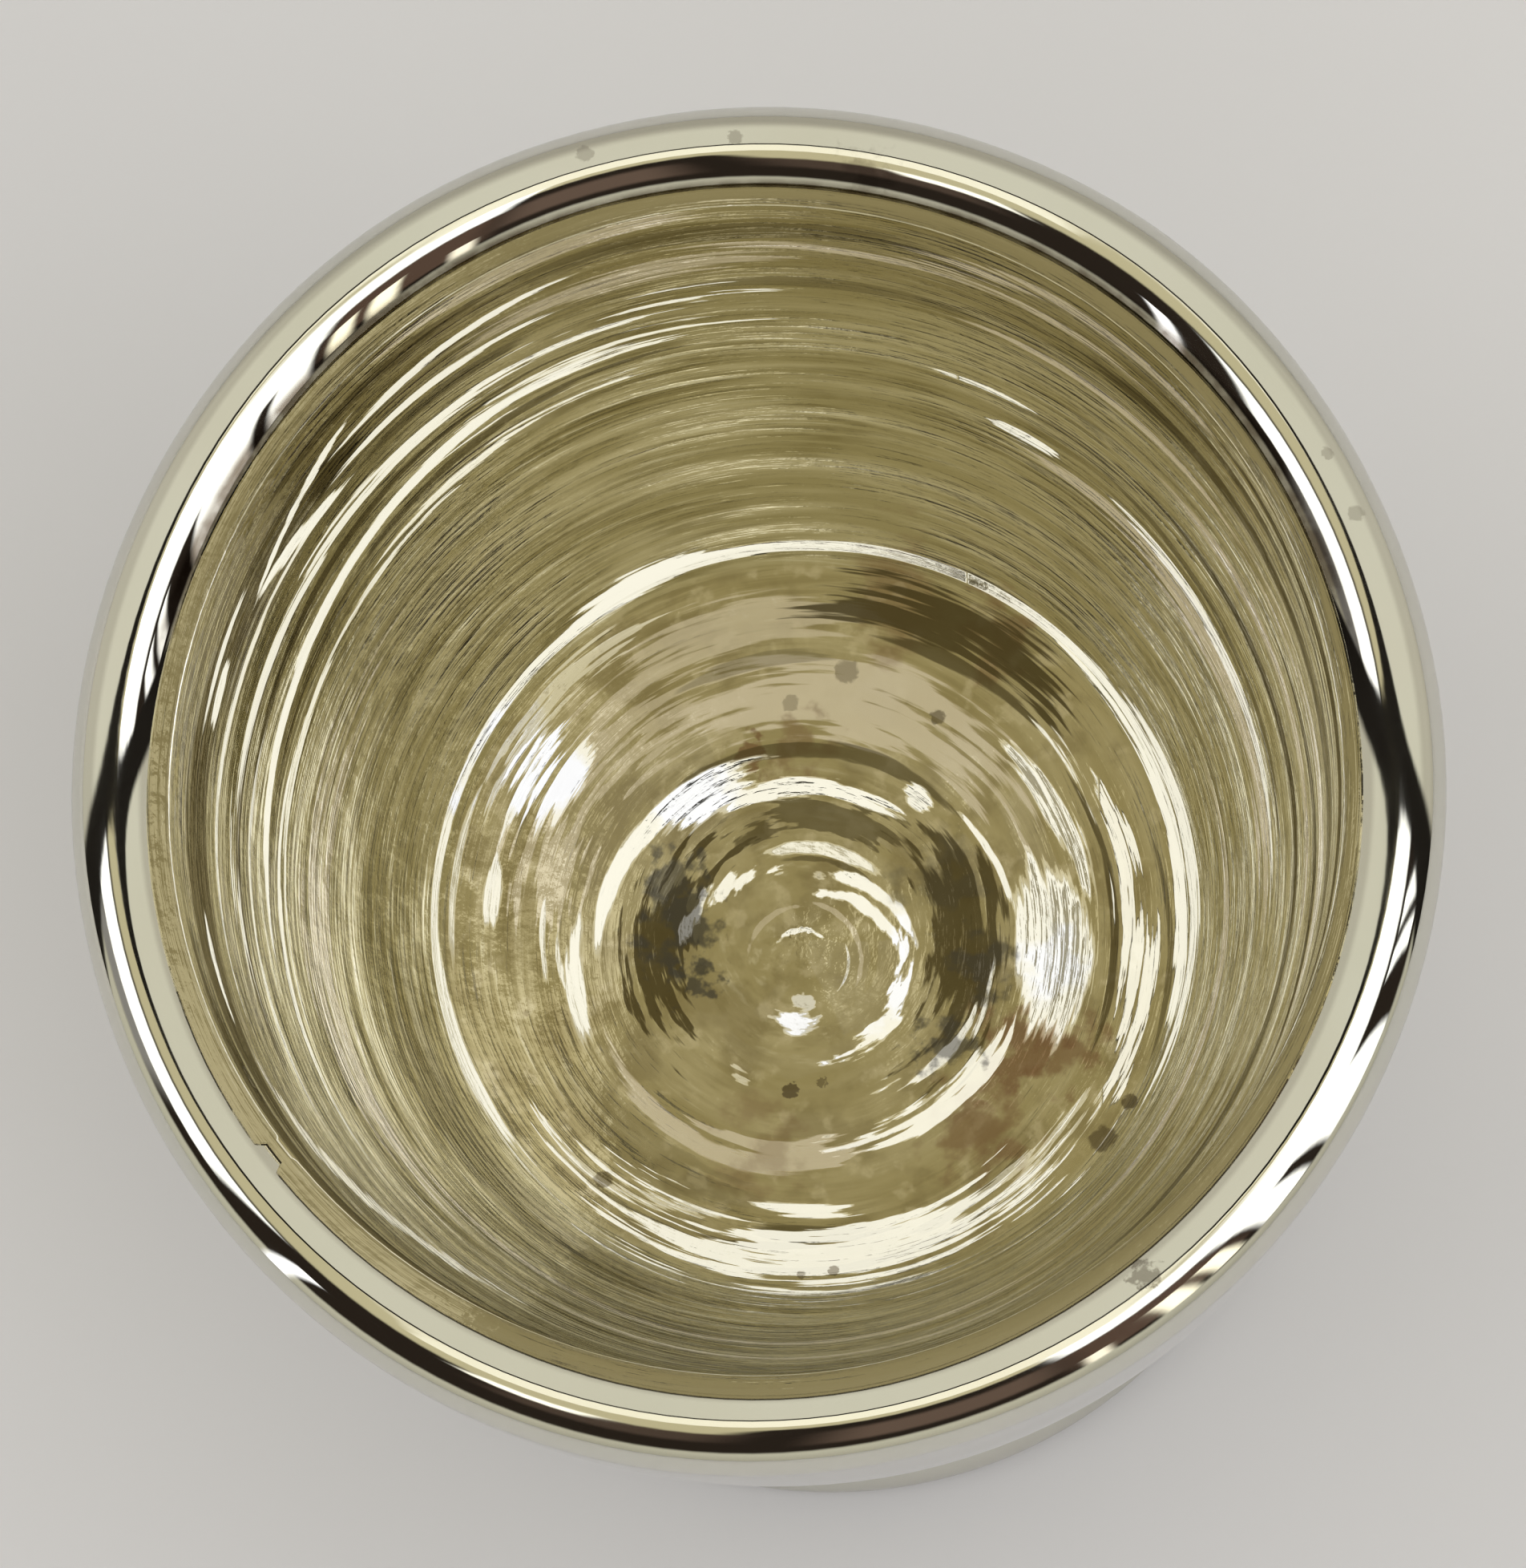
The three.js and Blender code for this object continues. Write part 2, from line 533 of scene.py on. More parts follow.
def spin_section(name: str, section: list[Point], steps: int) -> Piece:
    """Extrudes one vertex along a section, and spins the section about the upright axis.

    Args:
        name: The piece's name.
        section: Points in millimetres of radius and height.
        steps: Number of steps round the axis.

    Returns:
        The turned piece, with its place in its mesh.
    """
    bpy.ops.object.select_all(action="DESELECT")
    start = (section[0][0] * MM, 0.0, section[0][1] * MM)
    bpy.ops.mesh.primitive_plane_add(size=MM, location=start)
    piece = bpy.context.object
    piece.name = name
    piece.data.name = name
    bpy.ops.object.transform_apply(location=True, rotation=True, scale=True)
    bpy.ops.object.mode_set(mode="EDIT")
    bpy.ops.mesh.select_all(action="SELECT")
    bpy.ops.mesh.merge(type="CENTER")
    for here, there in zip(section, section[1:]):
        move = ((there[0] - here[0]) * MM, 0.0, (there[1] - here[1]) * MM)
        bpy.ops.mesh.extrude_region_move(TRANSFORM_OT_translate={"value": move})
    bpy.ops.mesh.select_all(action="SELECT")
    bpy.ops.mesh.spin(steps=steps, angle=TURN, center=(0, 0, 0), axis=(0, 0, 1))
    bpy.ops.mesh.select_all(action="SELECT")
    bpy.ops.mesh.remove_doubles(threshold=MERGE_DISTANCE)
    bpy.ops.mesh.normals_make_consistent(inside=False)
    bpy.ops.object.mode_set(mode="OBJECT")
    return piece


def copy_of(source: Piece, name: str) -> Piece:
    """Copies a piece with a mesh of its own, and leaves only the copy selected.

    Args:
        source: The piece to copy.
        name: The copy's name.

    Returns:
        The copy, selected and active.
    """
    bpy.ops.object.select_all(action="DESELECT")
    piece = source.copy()
    piece.data = source.data.copy()
    piece.name = name
    piece.data.name = name
    bpy.context.scene.collection.objects.link(piece)
    piece.select_set(True)
    bpy.context.view_layer.objects.active = piece
    return piece


def select_where(piece: Piece, wanted: Callable[[Vector], bool]) -> None:
    """Selects the vertices of a piece by their place in millimetres, with edit mode left open.

    Args:
        piece: The piece, selected and active.
        wanted: Says whether the vertex at a place is selected.
    """
    bpy.ops.object.mode_set(mode="EDIT")
    bpy.ops.mesh.select_mode(type="VERT")
    bpy.ops.mesh.select_all(action="DESELECT")
    bpy.ops.object.mode_set(mode="OBJECT")
    for vertex in piece.data.vertices:
        vertex.select = wanted(vertex.co / MM)
    bpy.ops.object.mode_set(mode="EDIT")


def fatten(piece: Piece, distance: float) -> None:
    """Moves a surface out along its normals by a distance in millimetres.

    Args:
        piece: The surface, selected and active.
        distance: The distance, which is negative inwards.
    """
    select_where(piece, lambda place: True)
    bpy.ops.transform.shrink_fatten(value=distance * MM, use_even_offset=True)
    bpy.ops.object.mode_set(mode="OBJECT")


def wall_up(piece: Piece, thickness: float) -> None:
    """Gives a surface a wall behind it, as thick as told in millimetres.

    Args:
        piece: The surface, selected and active.
        thickness: The wall's thickness.
    """
    wall = piece.modifiers.new("wall", "SOLIDIFY")
    wall.thickness = thickness * MM
    wall.offset = -1.0
    wall.use_even_offset = True
    bpy.ops.object.modifier_apply(modifier=wall.name)


@dataclass(frozen=True)
class Waviness:
    """Unevenness of blown glass, moved into a surface by a cloud texture stretched in each direction."""

    name: str
    zone: Zone
    pitch: Triple
    height: float
    depth: int = 0
    centre: Triple = (0.0, 0.0, 0.0)

    def texture(self) -> bpy.types.Texture:
        """Makes the clouds.

        Returns:
            The texture.
        """
        clouds = bpy.data.textures.new(self.name, "CLOUDS")
        clouds.noise_scale = 1.0
        clouds.noise_depth = self.depth
        return clouds

    def apply(self, piece: Piece) -> None:
        """Displaces a piece along its normals, as far as the zone's vertex group lets it.

        Args:
            piece: The piece, selected and active.
        """
        guide = bpy.data.objects.new(self.name, None)
        guide.location = [value * MM for value in self.centre]
        guide.scale = [value * MM for value in self.pitch]
        bpy.context.scene.collection.objects.link(guide)
        bpy.context.view_layer.update()
        shift = piece.modifiers.new(self.name, "DISPLACE")
        shift.texture = self.texture()
        shift.texture_coords = "OBJECT"
        shift.texture_coords_object = guide
        shift.vertex_group = self.zone.value
        shift.strength = self.height * MM
        shift.mid_level = 0.5
        bpy.ops.object.modifier_apply(modifier=shift.name)
        bpy.data.objects.remove(guide)


@dataclass(frozen=True)
class RingWaviness(Waviness):
    """Unevenness that runs in wandering rings round a centre, about a third of the pitch apart."""

    wander: float = 4.0
    wander_scale: float = 1.3

    def texture(self) -> bpy.types.Texture:
        """Makes the rings.

        Returns:
            The texture.
        """
        rings = bpy.data.textures.new(self.name, "WOOD")
        rings.wood_type = "RINGNOISE"
        rings.noise_basis_2 = "SIN"
        rings.noise_scale = self.wander_scale
        rings.turbulence = self.wander
        return rings


@dataclass(frozen=True)
class Nudge:
    """A stretch of the soft glass pushed off its round place, with everything near it drawn along.

    The stretch is given by its heading, clockwise from the far side in degrees, and by a band of radius
    and height. Lengths are in millimetres.
    """

    azimuth: Span
    radius: Span
    height: Span
    move: Triple
    reach: float

    def holds(self, place: Vector) -> bool:
        """Says whether a place lies in the stretch.

        Args:
            place: The place in millimetres.

        Returns:
            Whether it does.
        """
        around = math.degrees(math.atan2(place.x, place.y)) % 360
        turned = (around - self.azimuth[0]) % 360
        return (turned <= self.azimuth[1] - self.azimuth[0]
                and self.radius[0] <= math.hypot(place.x, place.y) <= self.radius[1]
                and self.height[0] <= place.z <= self.height[1])

    def apply(self, piece: Piece) -> None:
        """Moves the stretch, with a soft falloff round it.

        Args:
            piece: The piece, selected and active.
        """
        select_where(piece, self.holds)
        bpy.ops.transform.translate(
            value=[length * MM for length in self.move], use_proportional_edit=True,
            proportional_edit_falloff="SMOOTH", proportional_size=self.reach * MM)
        bpy.ops.object.mode_set(mode="OBJECT")


@dataclass
class BlownSurface:
    """The open surface of the blown glass, from the nipple over the rim to the filling hole."""

    form: CupForm
    steps: int = 72
    still_height: float = 2.0
    free_height: float = 14.0
    wall_margin: float = 2.5
    wall_fade: float = 3.0
    bottom_fade: float = 1.5
    bottom_below: float = 1.0
    bottom_above: float = 0.5
    nudges: tuple[Nudge, ...] = (
        Nudge((0, 360), (17.2, 17.8), (39.6, 40.0), (0.6, 0.13, 0.0), 9.0),
        Nudge((0, 360), (9.7, 10.2), (35.4, 35.8), (-0.2, -1.0, 0.0), 6.0),
        Nudge((0, 360), (0.0, 2.5), (34.6, 36.4), (0.1, -0.4, 0.0), 6.0),
        Nudge((330, 390), (23.5, 28.5), (76.0, 80.0), (0.0, 0.5, 0.0), 26.0),
    )
    waves: tuple[Waviness, ...] = (
        Waviness("slow_waves", Zone.ALL, (15.0, 15.0, 11.0), 0.14),
        Waviness("wall_rings", Zone.WALL, (26.0, 26.0, 2.4), 0.09),
        Waviness("fine_rings", Zone.WALL, (17.0, 17.0, 1.2), 0.035),
        Waviness("bottom_lumps", Zone.BOTTOM, (5.5, 5.5, 5.5), 0.35),
        RingWaviness("bottom_rings", Zone.BOTTOM, (5.0, 5.0, 50.0), 0.012, centre=(0.0, -0.9, 37.0)),
    )

    def build(self) -> Piece:
        """Turns the surface, pushes it out of true and waves it.

        Returns:
            The surface, which the pieces are copied from.
        """
        surface = spin_section("blown_surface", self.form.surface(), self.steps)
        for nudge in self.nudges:
            nudge.apply(surface)
        smooth = surface.modifiers.new("smooth", "SUBSURF")
        smooth.levels = smooth.render_levels = 1
        bpy.ops.object.modifier_apply(modifier=smooth.name)
        for zone in Zone:
            group = surface.vertex_groups.new(name=zone.value)
            for vertex in surface.data.vertices:
                group.add([vertex.index], self.weight(zone, vertex.co / MM), "REPLACE")
        for wave in self.waves:
            wave.apply(surface)
        bpy.ops.object.shade_smooth()
        return surface

    def weight(self, zone: Zone, place: Vector) -> float:
        """Says how much of a zone's unevenness a place takes.

        Args:
            zone: The zone.
            place: The place in millimetres.

        Returns:
            A share from 0 to 1.
        """
        radius = math.hypot(place.x, place.y)
        if zone is Zone.ALL:
            return clamped((place.z - self.still_height) / (self.free_height - self.still_height))
        if zone is Zone.WALL:
            inside = radius < self.form.wall_radius(place.z) + self.wall_margin
            from_ledge = clamped(place.z - self.form.ledge_z)
            from_lip = clamped((self.form.fold_centre[1] - place.z) / self.wall_fade)
            return from_ledge * from_lip if inside else 0.0
        low, high = self.form.well_floor_z - self.bottom_below, self.form.ledge_z + self.bottom_above
        from_edge = clamped((self.form.ledge_diameter / 2 - radius) / self.bottom_fade)
        return from_edge if low < place.z < high else 0.0


class Effect:
    """A shader node group with named sockets, which several finishes share."""

    def __init__(self, name: str, result: str, **inputs: object) -> None:
        """Makes the empty group.

        Args:
            name: The group's name.
            result: The name of its one result.
            inputs: The named inputs with their usual values.
        """
        self.tree = bpy.data.node_groups.new(name, "ShaderNodeTree")
        for label, value in inputs.items():
            kind = "NodeSocketVector" if isinstance(value, tuple) else "NodeSocketFloat"
            self.tree.interface.new_socket(name=label, in_out="INPUT", socket_type=kind).default_value = value
        self.tree.interface.new_socket(name=result, in_out="OUTPUT", socket_type="NodeSocketFloat")
        self.wiring = Wiring(self.tree)
        self.given = self.wiring.node("NodeGroupInput").outputs
        self.result = self.wiring.node("NodeGroupOutput").inputs[0]


class Effects:
    """The effects that the finishes share, each built once."""

    def __init__(self) -> None:
        """Builds all effects."""
        self.streaks = self.build_streaks()
        self.specks = self.build_specks()
        self.blemish = self.build_blemish()
        self.grain = self.build_grain()
        self.stroke = self.build_stroke()

    @staticmethod
    def build_streaks() -> Effect:
        """Builds streaks that run round the axis.

        Returns:
            The effect: Around is the number of streaks in a radian, Pitch is their width in millimetres, Shift
            picks another stretch of the pattern, and Detail is its number of octaves.
        """
        least_radius = 0.6
        effect = Effect("turned_streaks", "Value", Around=2.0, Pitch=1.0, Shift=0.0, Detail=3.0)
        wiring = effect.wiring
        x, y, z = wiring.place()
        radius = wiring.length(x, y)
        spread = wiring.over(effect.given["Around"], wiring.math("MAXIMUM", radius, least_radius))
        along = wiring.over(wiring.plus(radius, z), effect.given["Pitch"])
        place = wiring.node("ShaderNodeCombineXYZ")
        wiring.feed(place.inputs[0], wiring.times(x, spread))
        wiring.feed(place.inputs[1], wiring.times(y, spread))
        wiring.feed(place.inputs[2], wiring.plus(along, effect.given["Shift"]))
        made = wiring.noise(place.outputs[0], 1.0)
        wiring.feed(made.node.inputs["Detail"], effect.given["Detail"])
        wiring.feed(effect.result, made)
        return effect

    @staticmethod
    def build_specks() -> Effect:
        """Builds scattered round specks.

        Returns:
            The effect: Spacing is the mesh of the scatter in millimetres, Share how many places hold a speck,
            and Size how much of its place the largest speck fills.
        """
        no_speck, softness = -0.1, 0.06
        effect = Effect("specks", "Mask", Spacing=2.0, Share=0.3, Size=0.3)
        wiring = effect.wiring
        cells = wiring.node("ShaderNodeTexVoronoi")
        wiring.feed(cells.inputs["Vector"], wiring.millimetres())
        wiring.feed(cells.inputs["Scale"], wiring.over(1.0, effect.given["Spacing"]))
        chance = wiring.node("ShaderNodeSeparateColor")
        wiring.feed(chance.inputs[0], cells.outputs["Color"])
        size = wiring.node("ShaderNodeMapRange")
        wiring.feed(size.inputs[0], chance.outputs[0])
        wiring.feed(size.inputs[1], wiring.minus(1.0, effect.given["Share"]))
        wiring.feed(size.inputs[3], no_speck)
        wiring.feed(size.inputs[4], effect.given["Size"])
        inner = wiring.minus(size.outputs[0], softness)
        wiring.feed(effect.result, wiring.ramp(cells.outputs["Distance"], inner, size.outputs[0], 1.0, 0.0))
        return effect

    @staticmethod
    def build_blemish() -> Effect:
        """Builds one spot at a place.

        Returns:
            The effect: Place and Size are in millimetres, Ragged says how uneven its outline is, Soft how much
            of it is edge, and Lie scales each direction, so that a zero leaves that direction out.
        """
        lobes, octaves, lobe_depth = 1.6, 4.0, 4.0
        effect = Effect("blemish", "Mask", Place=(0.0, 0.0, 0.0), Size=1.0, Ragged=0.3, Soft=0.3, Lie=(1.0, 1.0, 1.0))
        wiring = effect.wiring
        here = wiring.millimetres()
        away = wiring.vector("SUBTRACT", here, effect.given["Place"]).outputs[0]
        away = wiring.vector("MULTIPLY", away, effect.given["Lie"]).outputs[0]
        away = wiring.vector("LENGTH", away).outputs["Value"]
        wobble = wiring.noise(here, wiring.over(lobes, effect.given["Size"]), octaves)
        wobble = wiring.times(wiring.minus(wobble, 0.5), effect.given["Ragged"])
        share = wiring.over(away, effect.given["Size"])
        share = wiring.plus(share, wiring.times(wobble, lobe_depth))
        inner = wiring.minus(1.0, effect.given["Soft"])
        wiring.feed(effect.result, wiring.ramp(share, inner, 1.0, 1.0, 0.0))
        return effect

    @staticmethod
    def build_grain() -> Effect:
        """Builds an even cloudy grain.

        Returns:
            The effect: Size is the grain in millimetres, and Detail the number of its octaves.
        """
        effect = Effect("grain", "Value", Size=1.0, Detail=4.0)
        wiring = effect.wiring
        made = wiring.noise(wiring.millimetres(), wiring.over(1.0, effect.given["Size"]))
        wiring.feed(made.node.inputs["Detail"], effect.given["Detail"])
        wiring.feed(effect.result, made)
        return effect

    @staticmethod
    def build_stroke() -> Effect:
        """Builds one stroke of painted light or shade with tapered ends.

        Returns:
            The effect: Around and Along are where the place lies, Heading and Span are in degrees, Reach, Width
            and Lean in millimetres, and Fray says how far Streak, a value about one half, frays its outline.
        """
        fraying, inner, outer = 10.0, 0.6, 1.15
        effect = Effect("painted_light_stroke", "Mask", Around=0.0, Along=0.0, Streak=0.5, Heading=0.0, Span=10.0,
                        Reach=1.0, Width=1.0, Lean=0.0, Fray=0.0)
        wiring = effect.wiring
        turned = wiring.math("WRAP", wiring.minus(effect.given["Around"], effect.given["Heading"]), 180.0)
        turned.node.inputs[2].default_value = -180.0
        share = wiring.over(turned, effect.given["Span"])
        middle = wiring.times_plus(share, effect.given["Lean"], effect.given["Reach"])
        off = wiring.over(wiring.minus(effect.given["Along"], middle), effect.given["Width"])
        off = wiring.times(off, 2.0)
        ragged = wiring.times(wiring.minus(effect.given["Streak"], 0.5), fraying)
        outward = wiring.plus(wiring.times(share, share), wiring.times(off, off))
        frayed = wiring.times_plus(ragged, effect.given["Fray"], outward)
        wiring.feed(effect.result, wiring.ramp(frayed, inner, outer, 1.0, 0.0))
        return effect


@dataclass(frozen=True)
class Spot:
    """An age spot, with its place and size in millimetres."""

    place: Triple
    size: float
    strength: float = 0.7
    ragged: float = 0.25
    soft: float = 0.3
    lie: Triple = (1.0, 1.0, 1.0)


@dataclass(frozen=True)
class BottomSpot(Spot):
    """An age spot on the bowl's bottom, which is measured in plan."""

    lie: Triple = (1.0, 1.0, 0.0)


class Tone(Enum):
    """What a stroke paints on the gold: a highlight, a pale reflection or shade."""

    # A gleam is a painted highlight, a pale stroke a painted pale reflection, and a shade stroke painted shade.
    GLEAM = "gleam"
    PALE_REFLECTION = "pale"
    SHADE = "shade"


@dataclass(frozen=True)
class Stroke:
    """A mark of painted light or shade that follows the turning, in degrees clockwise from the far side and in
    millimetres.

    Its reach is how far it lies from its track's centre in plan, or how high it lies on an upright track.
    """

    heading: float
    span: float
    reach: float
    width: float
    strength: float
    lean: float = 0.0
    fray: float = 0.3


@dataclass(frozen=True)
class Track:
    """Strokes that run round one centre, by their tone."""

    centre: Point
    upright: bool
    strokes: dict[Tone, tuple[Stroke, ...]]


# Painted highlights, pale reflections and shade on the bowl's bottom, measured round the crease.
CREASE_TRACK = Track((0.6, 0.2), False, {
    Tone.GLEAM: (
        Stroke(343, 128, 17.6, 0.35, 0.9, fray=0.2), Stroke(333, 14, 17.75, 0.8, 1.0),
        Stroke(247, 15, 17.45, 0.6, 0.95), Stroke(276, 16, 16.9, 0.35, 0.7), Stroke(80, 34, 17.6, 1.0, 0.9, fray=0.5),
        Stroke(93, 30, 15.3, 1.5, 0.8, 0.7, 0.8), Stroke(178, 36, 15.8, 3.0, 0.9, fray=1.4),
        Stroke(210, 16, 15.0, 0.9, 0.7, 0.9, 0.8), Stroke(182, 10, 13.4, 0.8, 0.9, fray=0.5),
        Stroke(141, 15, 15.3, 1.6, 0.6, fray=1.4), Stroke(276, 6, 15.2, 0.9, 0.9),
        Stroke(310, 15, 16.2, 1.2, 0.55, fray=1.4), Stroke(300, 9, 14.5, 2.8, 0.9, fray=0.8),
        Stroke(266, 8, 12.9, 0.35, 0.8, fray=0.8), Stroke(263, 6, 12.2, 0.3, 0.8, fray=0.8),
    ),
    Tone.PALE_REFLECTION: (
        Stroke(12, 45, 11.3, 3.8, 0.85, fray=0.5), Stroke(344, 24, 14.9, 2.2, 0.6, fray=0.5),
        Stroke(284, 12, 13.2, 3.0, 0.6, fray=1.4), Stroke(318, 22, 13.0, 3.4, 0.5, fray=1.4),
    ),
    Tone.SHADE: (
        Stroke(90, 30, 14.2, 0.45, 0.8, 0.2), Stroke(95, 20, 16.8, 0.3, 0.6, 0.4), Stroke(182, 10, 14.5, 0.9, 0.75),
        Stroke(190, 20, 15.3, 0.3, 0.8, 0.5, 0.8), Stroke(165, 22, 16.1, 0.3, 0.7, 0.4, 0.8),
        Stroke(148, 14, 14.9, 0.5, 0.7, 0.5, 0.8), Stroke(27, 26, 15.6, 2.5, 0.92, fray=0.5),
        Stroke(30, 17, 14.25, 0.7, 0.8, fray=0.3), Stroke(350, 18, 13.1, 0.7, 0.4), Stroke(215, 28, 13.3, 2.4, 0.25),
    ),
})

# Painted highlights, pale reflections and shade round the well.
WELL_TRACK = Track((0.0, -1.2), False, {
    Tone.GLEAM: (
        Stroke(312, 38, 9.8, 1.0, 1.0, fray=0.2), Stroke(330, 17, 9.2, 1.9, 1.0),
        Stroke(2, 31, 8.5, 0.9, 0.95, fray=0.5), Stroke(35, 5, 9.5, 1.1, 0.95), Stroke(264, 17, 10.8, 0.9, 0.95),
        Stroke(138, 28, 9.6, 1.3, 0.85, -0.6, 0.8), Stroke(122, 27, 8.2, 0.8, 0.8, -1.0, 0.8),
        Stroke(88, 21, 11.9, 3.6, 1.0, fray=0.2), Stroke(60, 18, 13.9, 1.1, 0.95), Stroke(62, 17, 10.3, 0.35, 0.9),
        Stroke(14, 30, 5.55, 0.75, 0.75, fray=0.2), Stroke(310, 26, 5.3, 0.9, 0.85, -0.5, 0.8),
        Stroke(42, 38, 4.8, 0.75, 0.95, 0.7), Stroke(50, 40, 4.0, 0.7, 0.95, 0.75),
        Stroke(115, 34, 4.8, 1.1, 0.85, fray=0.8), Stroke(355, 46, 1.45, 0.3, 0.9),
        Stroke(209, 6, 6.1, 0.7, 0.6, fray=0.8), Stroke(187, 28, 2.95, 1.1, 0.85, fray=0.5),
        Stroke(180, 16, 1.9, 1.0, 0.6, fray=0.5), Stroke(95, 30, 2.2, 0.15, 0.7),
    ),
    Tone.PALE_REFLECTION: (
        Stroke(215, 38, 10.0, 0.9, 0.9), Stroke(184, 24, 9.2, 1.5, 0.9, fray=0.8), Stroke(60, 60, 2.8, 0.3, 0.6),
        Stroke(320, 40, 2.6, 0.3, 0.5),
    ),
    Tone.SHADE: (
        Stroke(5, 42, 10.2, 0.8, 0.7, fray=0.3), Stroke(84, 46, 8.0, 3.9, 0.88, fray=0.5),
        Stroke(280, 40, 6.9, 2.9, 0.9, fray=0.8), Stroke(5, 38, 7.1, 1.4, 0.7, fray=0.8),
        Stroke(22, 30, 5.0, 0.35, 0.6),
    ),
})

# Painted highlights, pale reflections and shade on the wall, measured by height.
WALL_TRACK = Track((0.0, 0.0), True, {
    Tone.GLEAM: (
        Stroke(305, 48, 61.0, 1.1, 0.95, 2.0, 0.2), Stroke(300, 40, 64.4, 1.3, 0.85, fray=0.8),
        Stroke(296, 30, 57.4, 0.6, 0.7, 0.6, 0.8), Stroke(284, 26, 66.9, 0.6, 0.8, fray=0.8),
        Stroke(341, 12, 65.4, 1.6, 0.8, 0.5, 1.4), Stroke(339, 13, 62.4, 1.5, 0.7, 0.5, 1.4),
        Stroke(324, 14, 58.6, 1.0, 0.6, 0.5, 1.4), Stroke(322, 15, 68.3, 1.0, 0.9),
        Stroke(324, 14, 71.4, 0.9, 0.9, 0.6), Stroke(304, 11, 71.0, 0.9, 0.95, 2.0, 0.2),
        Stroke(302, 8, 67.8, 1.6, 1.0, -1.2, 0.2), Stroke(286, 8, 71.6, 0.6, 0.9), Stroke(283, 3.5, 70.0, 1.4, 0.95),
        Stroke(30, 5, 56.8, 1.1, 0.9), Stroke(25, 6, 60.0, 0.6, 0.6), Stroke(66, 27, 56.0, 1.2, 0.8, -1.0),
        Stroke(257, 24, 57.6, 0.7, 0.85), Stroke(262, 21, 62.0, 0.6, 0.7), Stroke(254, 5.5, 71.2, 0.9, 0.95),
        Stroke(228, 16, 64.0, 2.2, 0.75, 5.0, 0.5),
    ),
    Tone.PALE_REFLECTION: (
        Stroke(345, 17, 69.8, 2.4, 0.7, fray=0.5), Stroke(338, 16, 76.0, 1.6, 0.7),
        Stroke(15, 23, 71.6, 1.2, 0.9, fray=0.5), Stroke(22, 7, 73.2, 1.8, 0.9, fray=0.8),
        Stroke(38, 13, 74.6, 1.2, 0.9), Stroke(38, 20, 66.2, 0.9, 0.9), Stroke(66, 28, 54.8, 3.0, 0.9, -1.0, 0.5),
        Stroke(84, 24, 66.5, 1.6, 0.7, fray=0.8), Stroke(72, 26, 63.0, 1.0, 0.8), Stroke(108, 32, 47.5, 1.4, 0.7),
        Stroke(262, 30, 52.5, 3.4, 0.6, fray=0.8), Stroke(190, 44, 50.5, 1.0, 0.6), Stroke(176, 40, 55.0, 1.0, 0.5),
    ),
    Tone.SHADE: (
        Stroke(303, 40, 62.7, 0.7, 0.8, 1.0, 0.5), Stroke(305, 44, 59.6, 0.7, 0.7, 1.6, 0.5),
        Stroke(318, 15, 74.3, 1.6, 0.75), Stroke(309, 5, 69.5, 3.5, 0.85), Stroke(323, 12, 66.8, 1.0, 0.65),
        Stroke(355, 24, 73.8, 2.2, 0.55), Stroke(8, 17, 67.0, 1.2, 0.4), Stroke(55, 27, 69.6, 2.2, 0.8),
        Stroke(96, 44, 75.2, 1.7, 0.85, fray=0.2), Stroke(60, 24, 73.0, 0.9, 0.7),
        Stroke(64, 26, 57.7, 0.7, 0.6, -1.0), Stroke(75, 28, 60.5, 0.9, 0.85), Stroke(96, 30, 65.0, 0.8, 0.8, 0.6),
        Stroke(118, 32, 60.0, 2.2, 0.7), Stroke(256, 34, 71.5, 5.0, 0.85, fray=0.3),
        Stroke(292, 20, 70.0, 5.0, 0.7, fray=0.5), Stroke(272, 30, 63.8, 0.8, 0.8, fray=0.3),
        Stroke(90, 36, 70.0, 3.0, 0.6, fray=0.5), Stroke(208, 52, 75.0, 4.5, 0.85, fray=0.2),
        Stroke(228, 36, 44.0, 4.0, 0.35),
    ),
})


class Finish:
    """A material with one Principled shader."""

    def __init__(self, slot: Slot, effects: Effects) -> None:
        """Makes the material and its shader for a slot.

        Args:
            slot: The record's slot, which names the material.
            effects: The shared effects.
        """
        self.material = bpy.data.materials.new(slot.value)
        self.material.use_nodes = True
        self.effects = effects
        self.wiring = Wiring(self.material.node_tree)
        self.shader = self.material.node_tree.nodes["Principled BSDF"]

    def put(self, name: str, source: object) -> None:
        """Sets or feeds one of the shader's sockets."""
        self.wiring.feed(self.shader.inputs[name], source)

    def bump(self, height: Socket, depth: float, facing: Socket | None = None) -> None:
        """Raises the surface by a height map.

        Args:
            height: The height map.
            depth: Its depth in millimetres.
            facing: The direction that the surface faces, where that isn't the mesh's own.
        """
        made = self.wiring.node("ShaderNodeBump")
        made.inputs["Distance"].default_value = depth * MM
        self.wiring.feed(made.inputs["Height"], height)
        if facing:
            self.wiring.feed(made.inputs["Normal"], facing)
        self.put("Normal", made.outputs[0])

    def lay(self, under: object, over: object, *shares: object) -> Socket:
        """Lays a colour over another.

        Args:
            under: The socket or colour underneath.
            over: The socket or colour on top.
            shares: How much of it is laid, as one share or as several that are multiplied.

        Returns:
            The socket of the result.
        """
        share = shares[0]
        for further in shares[1:]:
            share = self.wiring.times(share, further)
        return self.wiring.mix(share, under, over)

    def spotted(self, colour: object, spots: tuple[Spot, ...], spot_colour: Colour) -> Socket:
        """Lays spots over a colour.

        Args:
            colour: The socket or colour underneath.
            spots: The spots.
            spot_colour: Their colour.

        Returns:
            The socket of the spotted colour.
        """
        for spot in spots:
            mask = self.wiring.use(self.effects.blemish, Place=spot.place, Size=spot.size,
                                   Ragged=spot.ragged, Soft=spot.soft, Lie=spot.lie)
            colour = self.lay(colour, spot_colour, mask, spot.strength)
        return colour

    def dress(self, piece: Piece) -> None:
        """Gives the material to a piece."""
        piece.data.materials.clear()
        piece.data.materials.append(self.material)


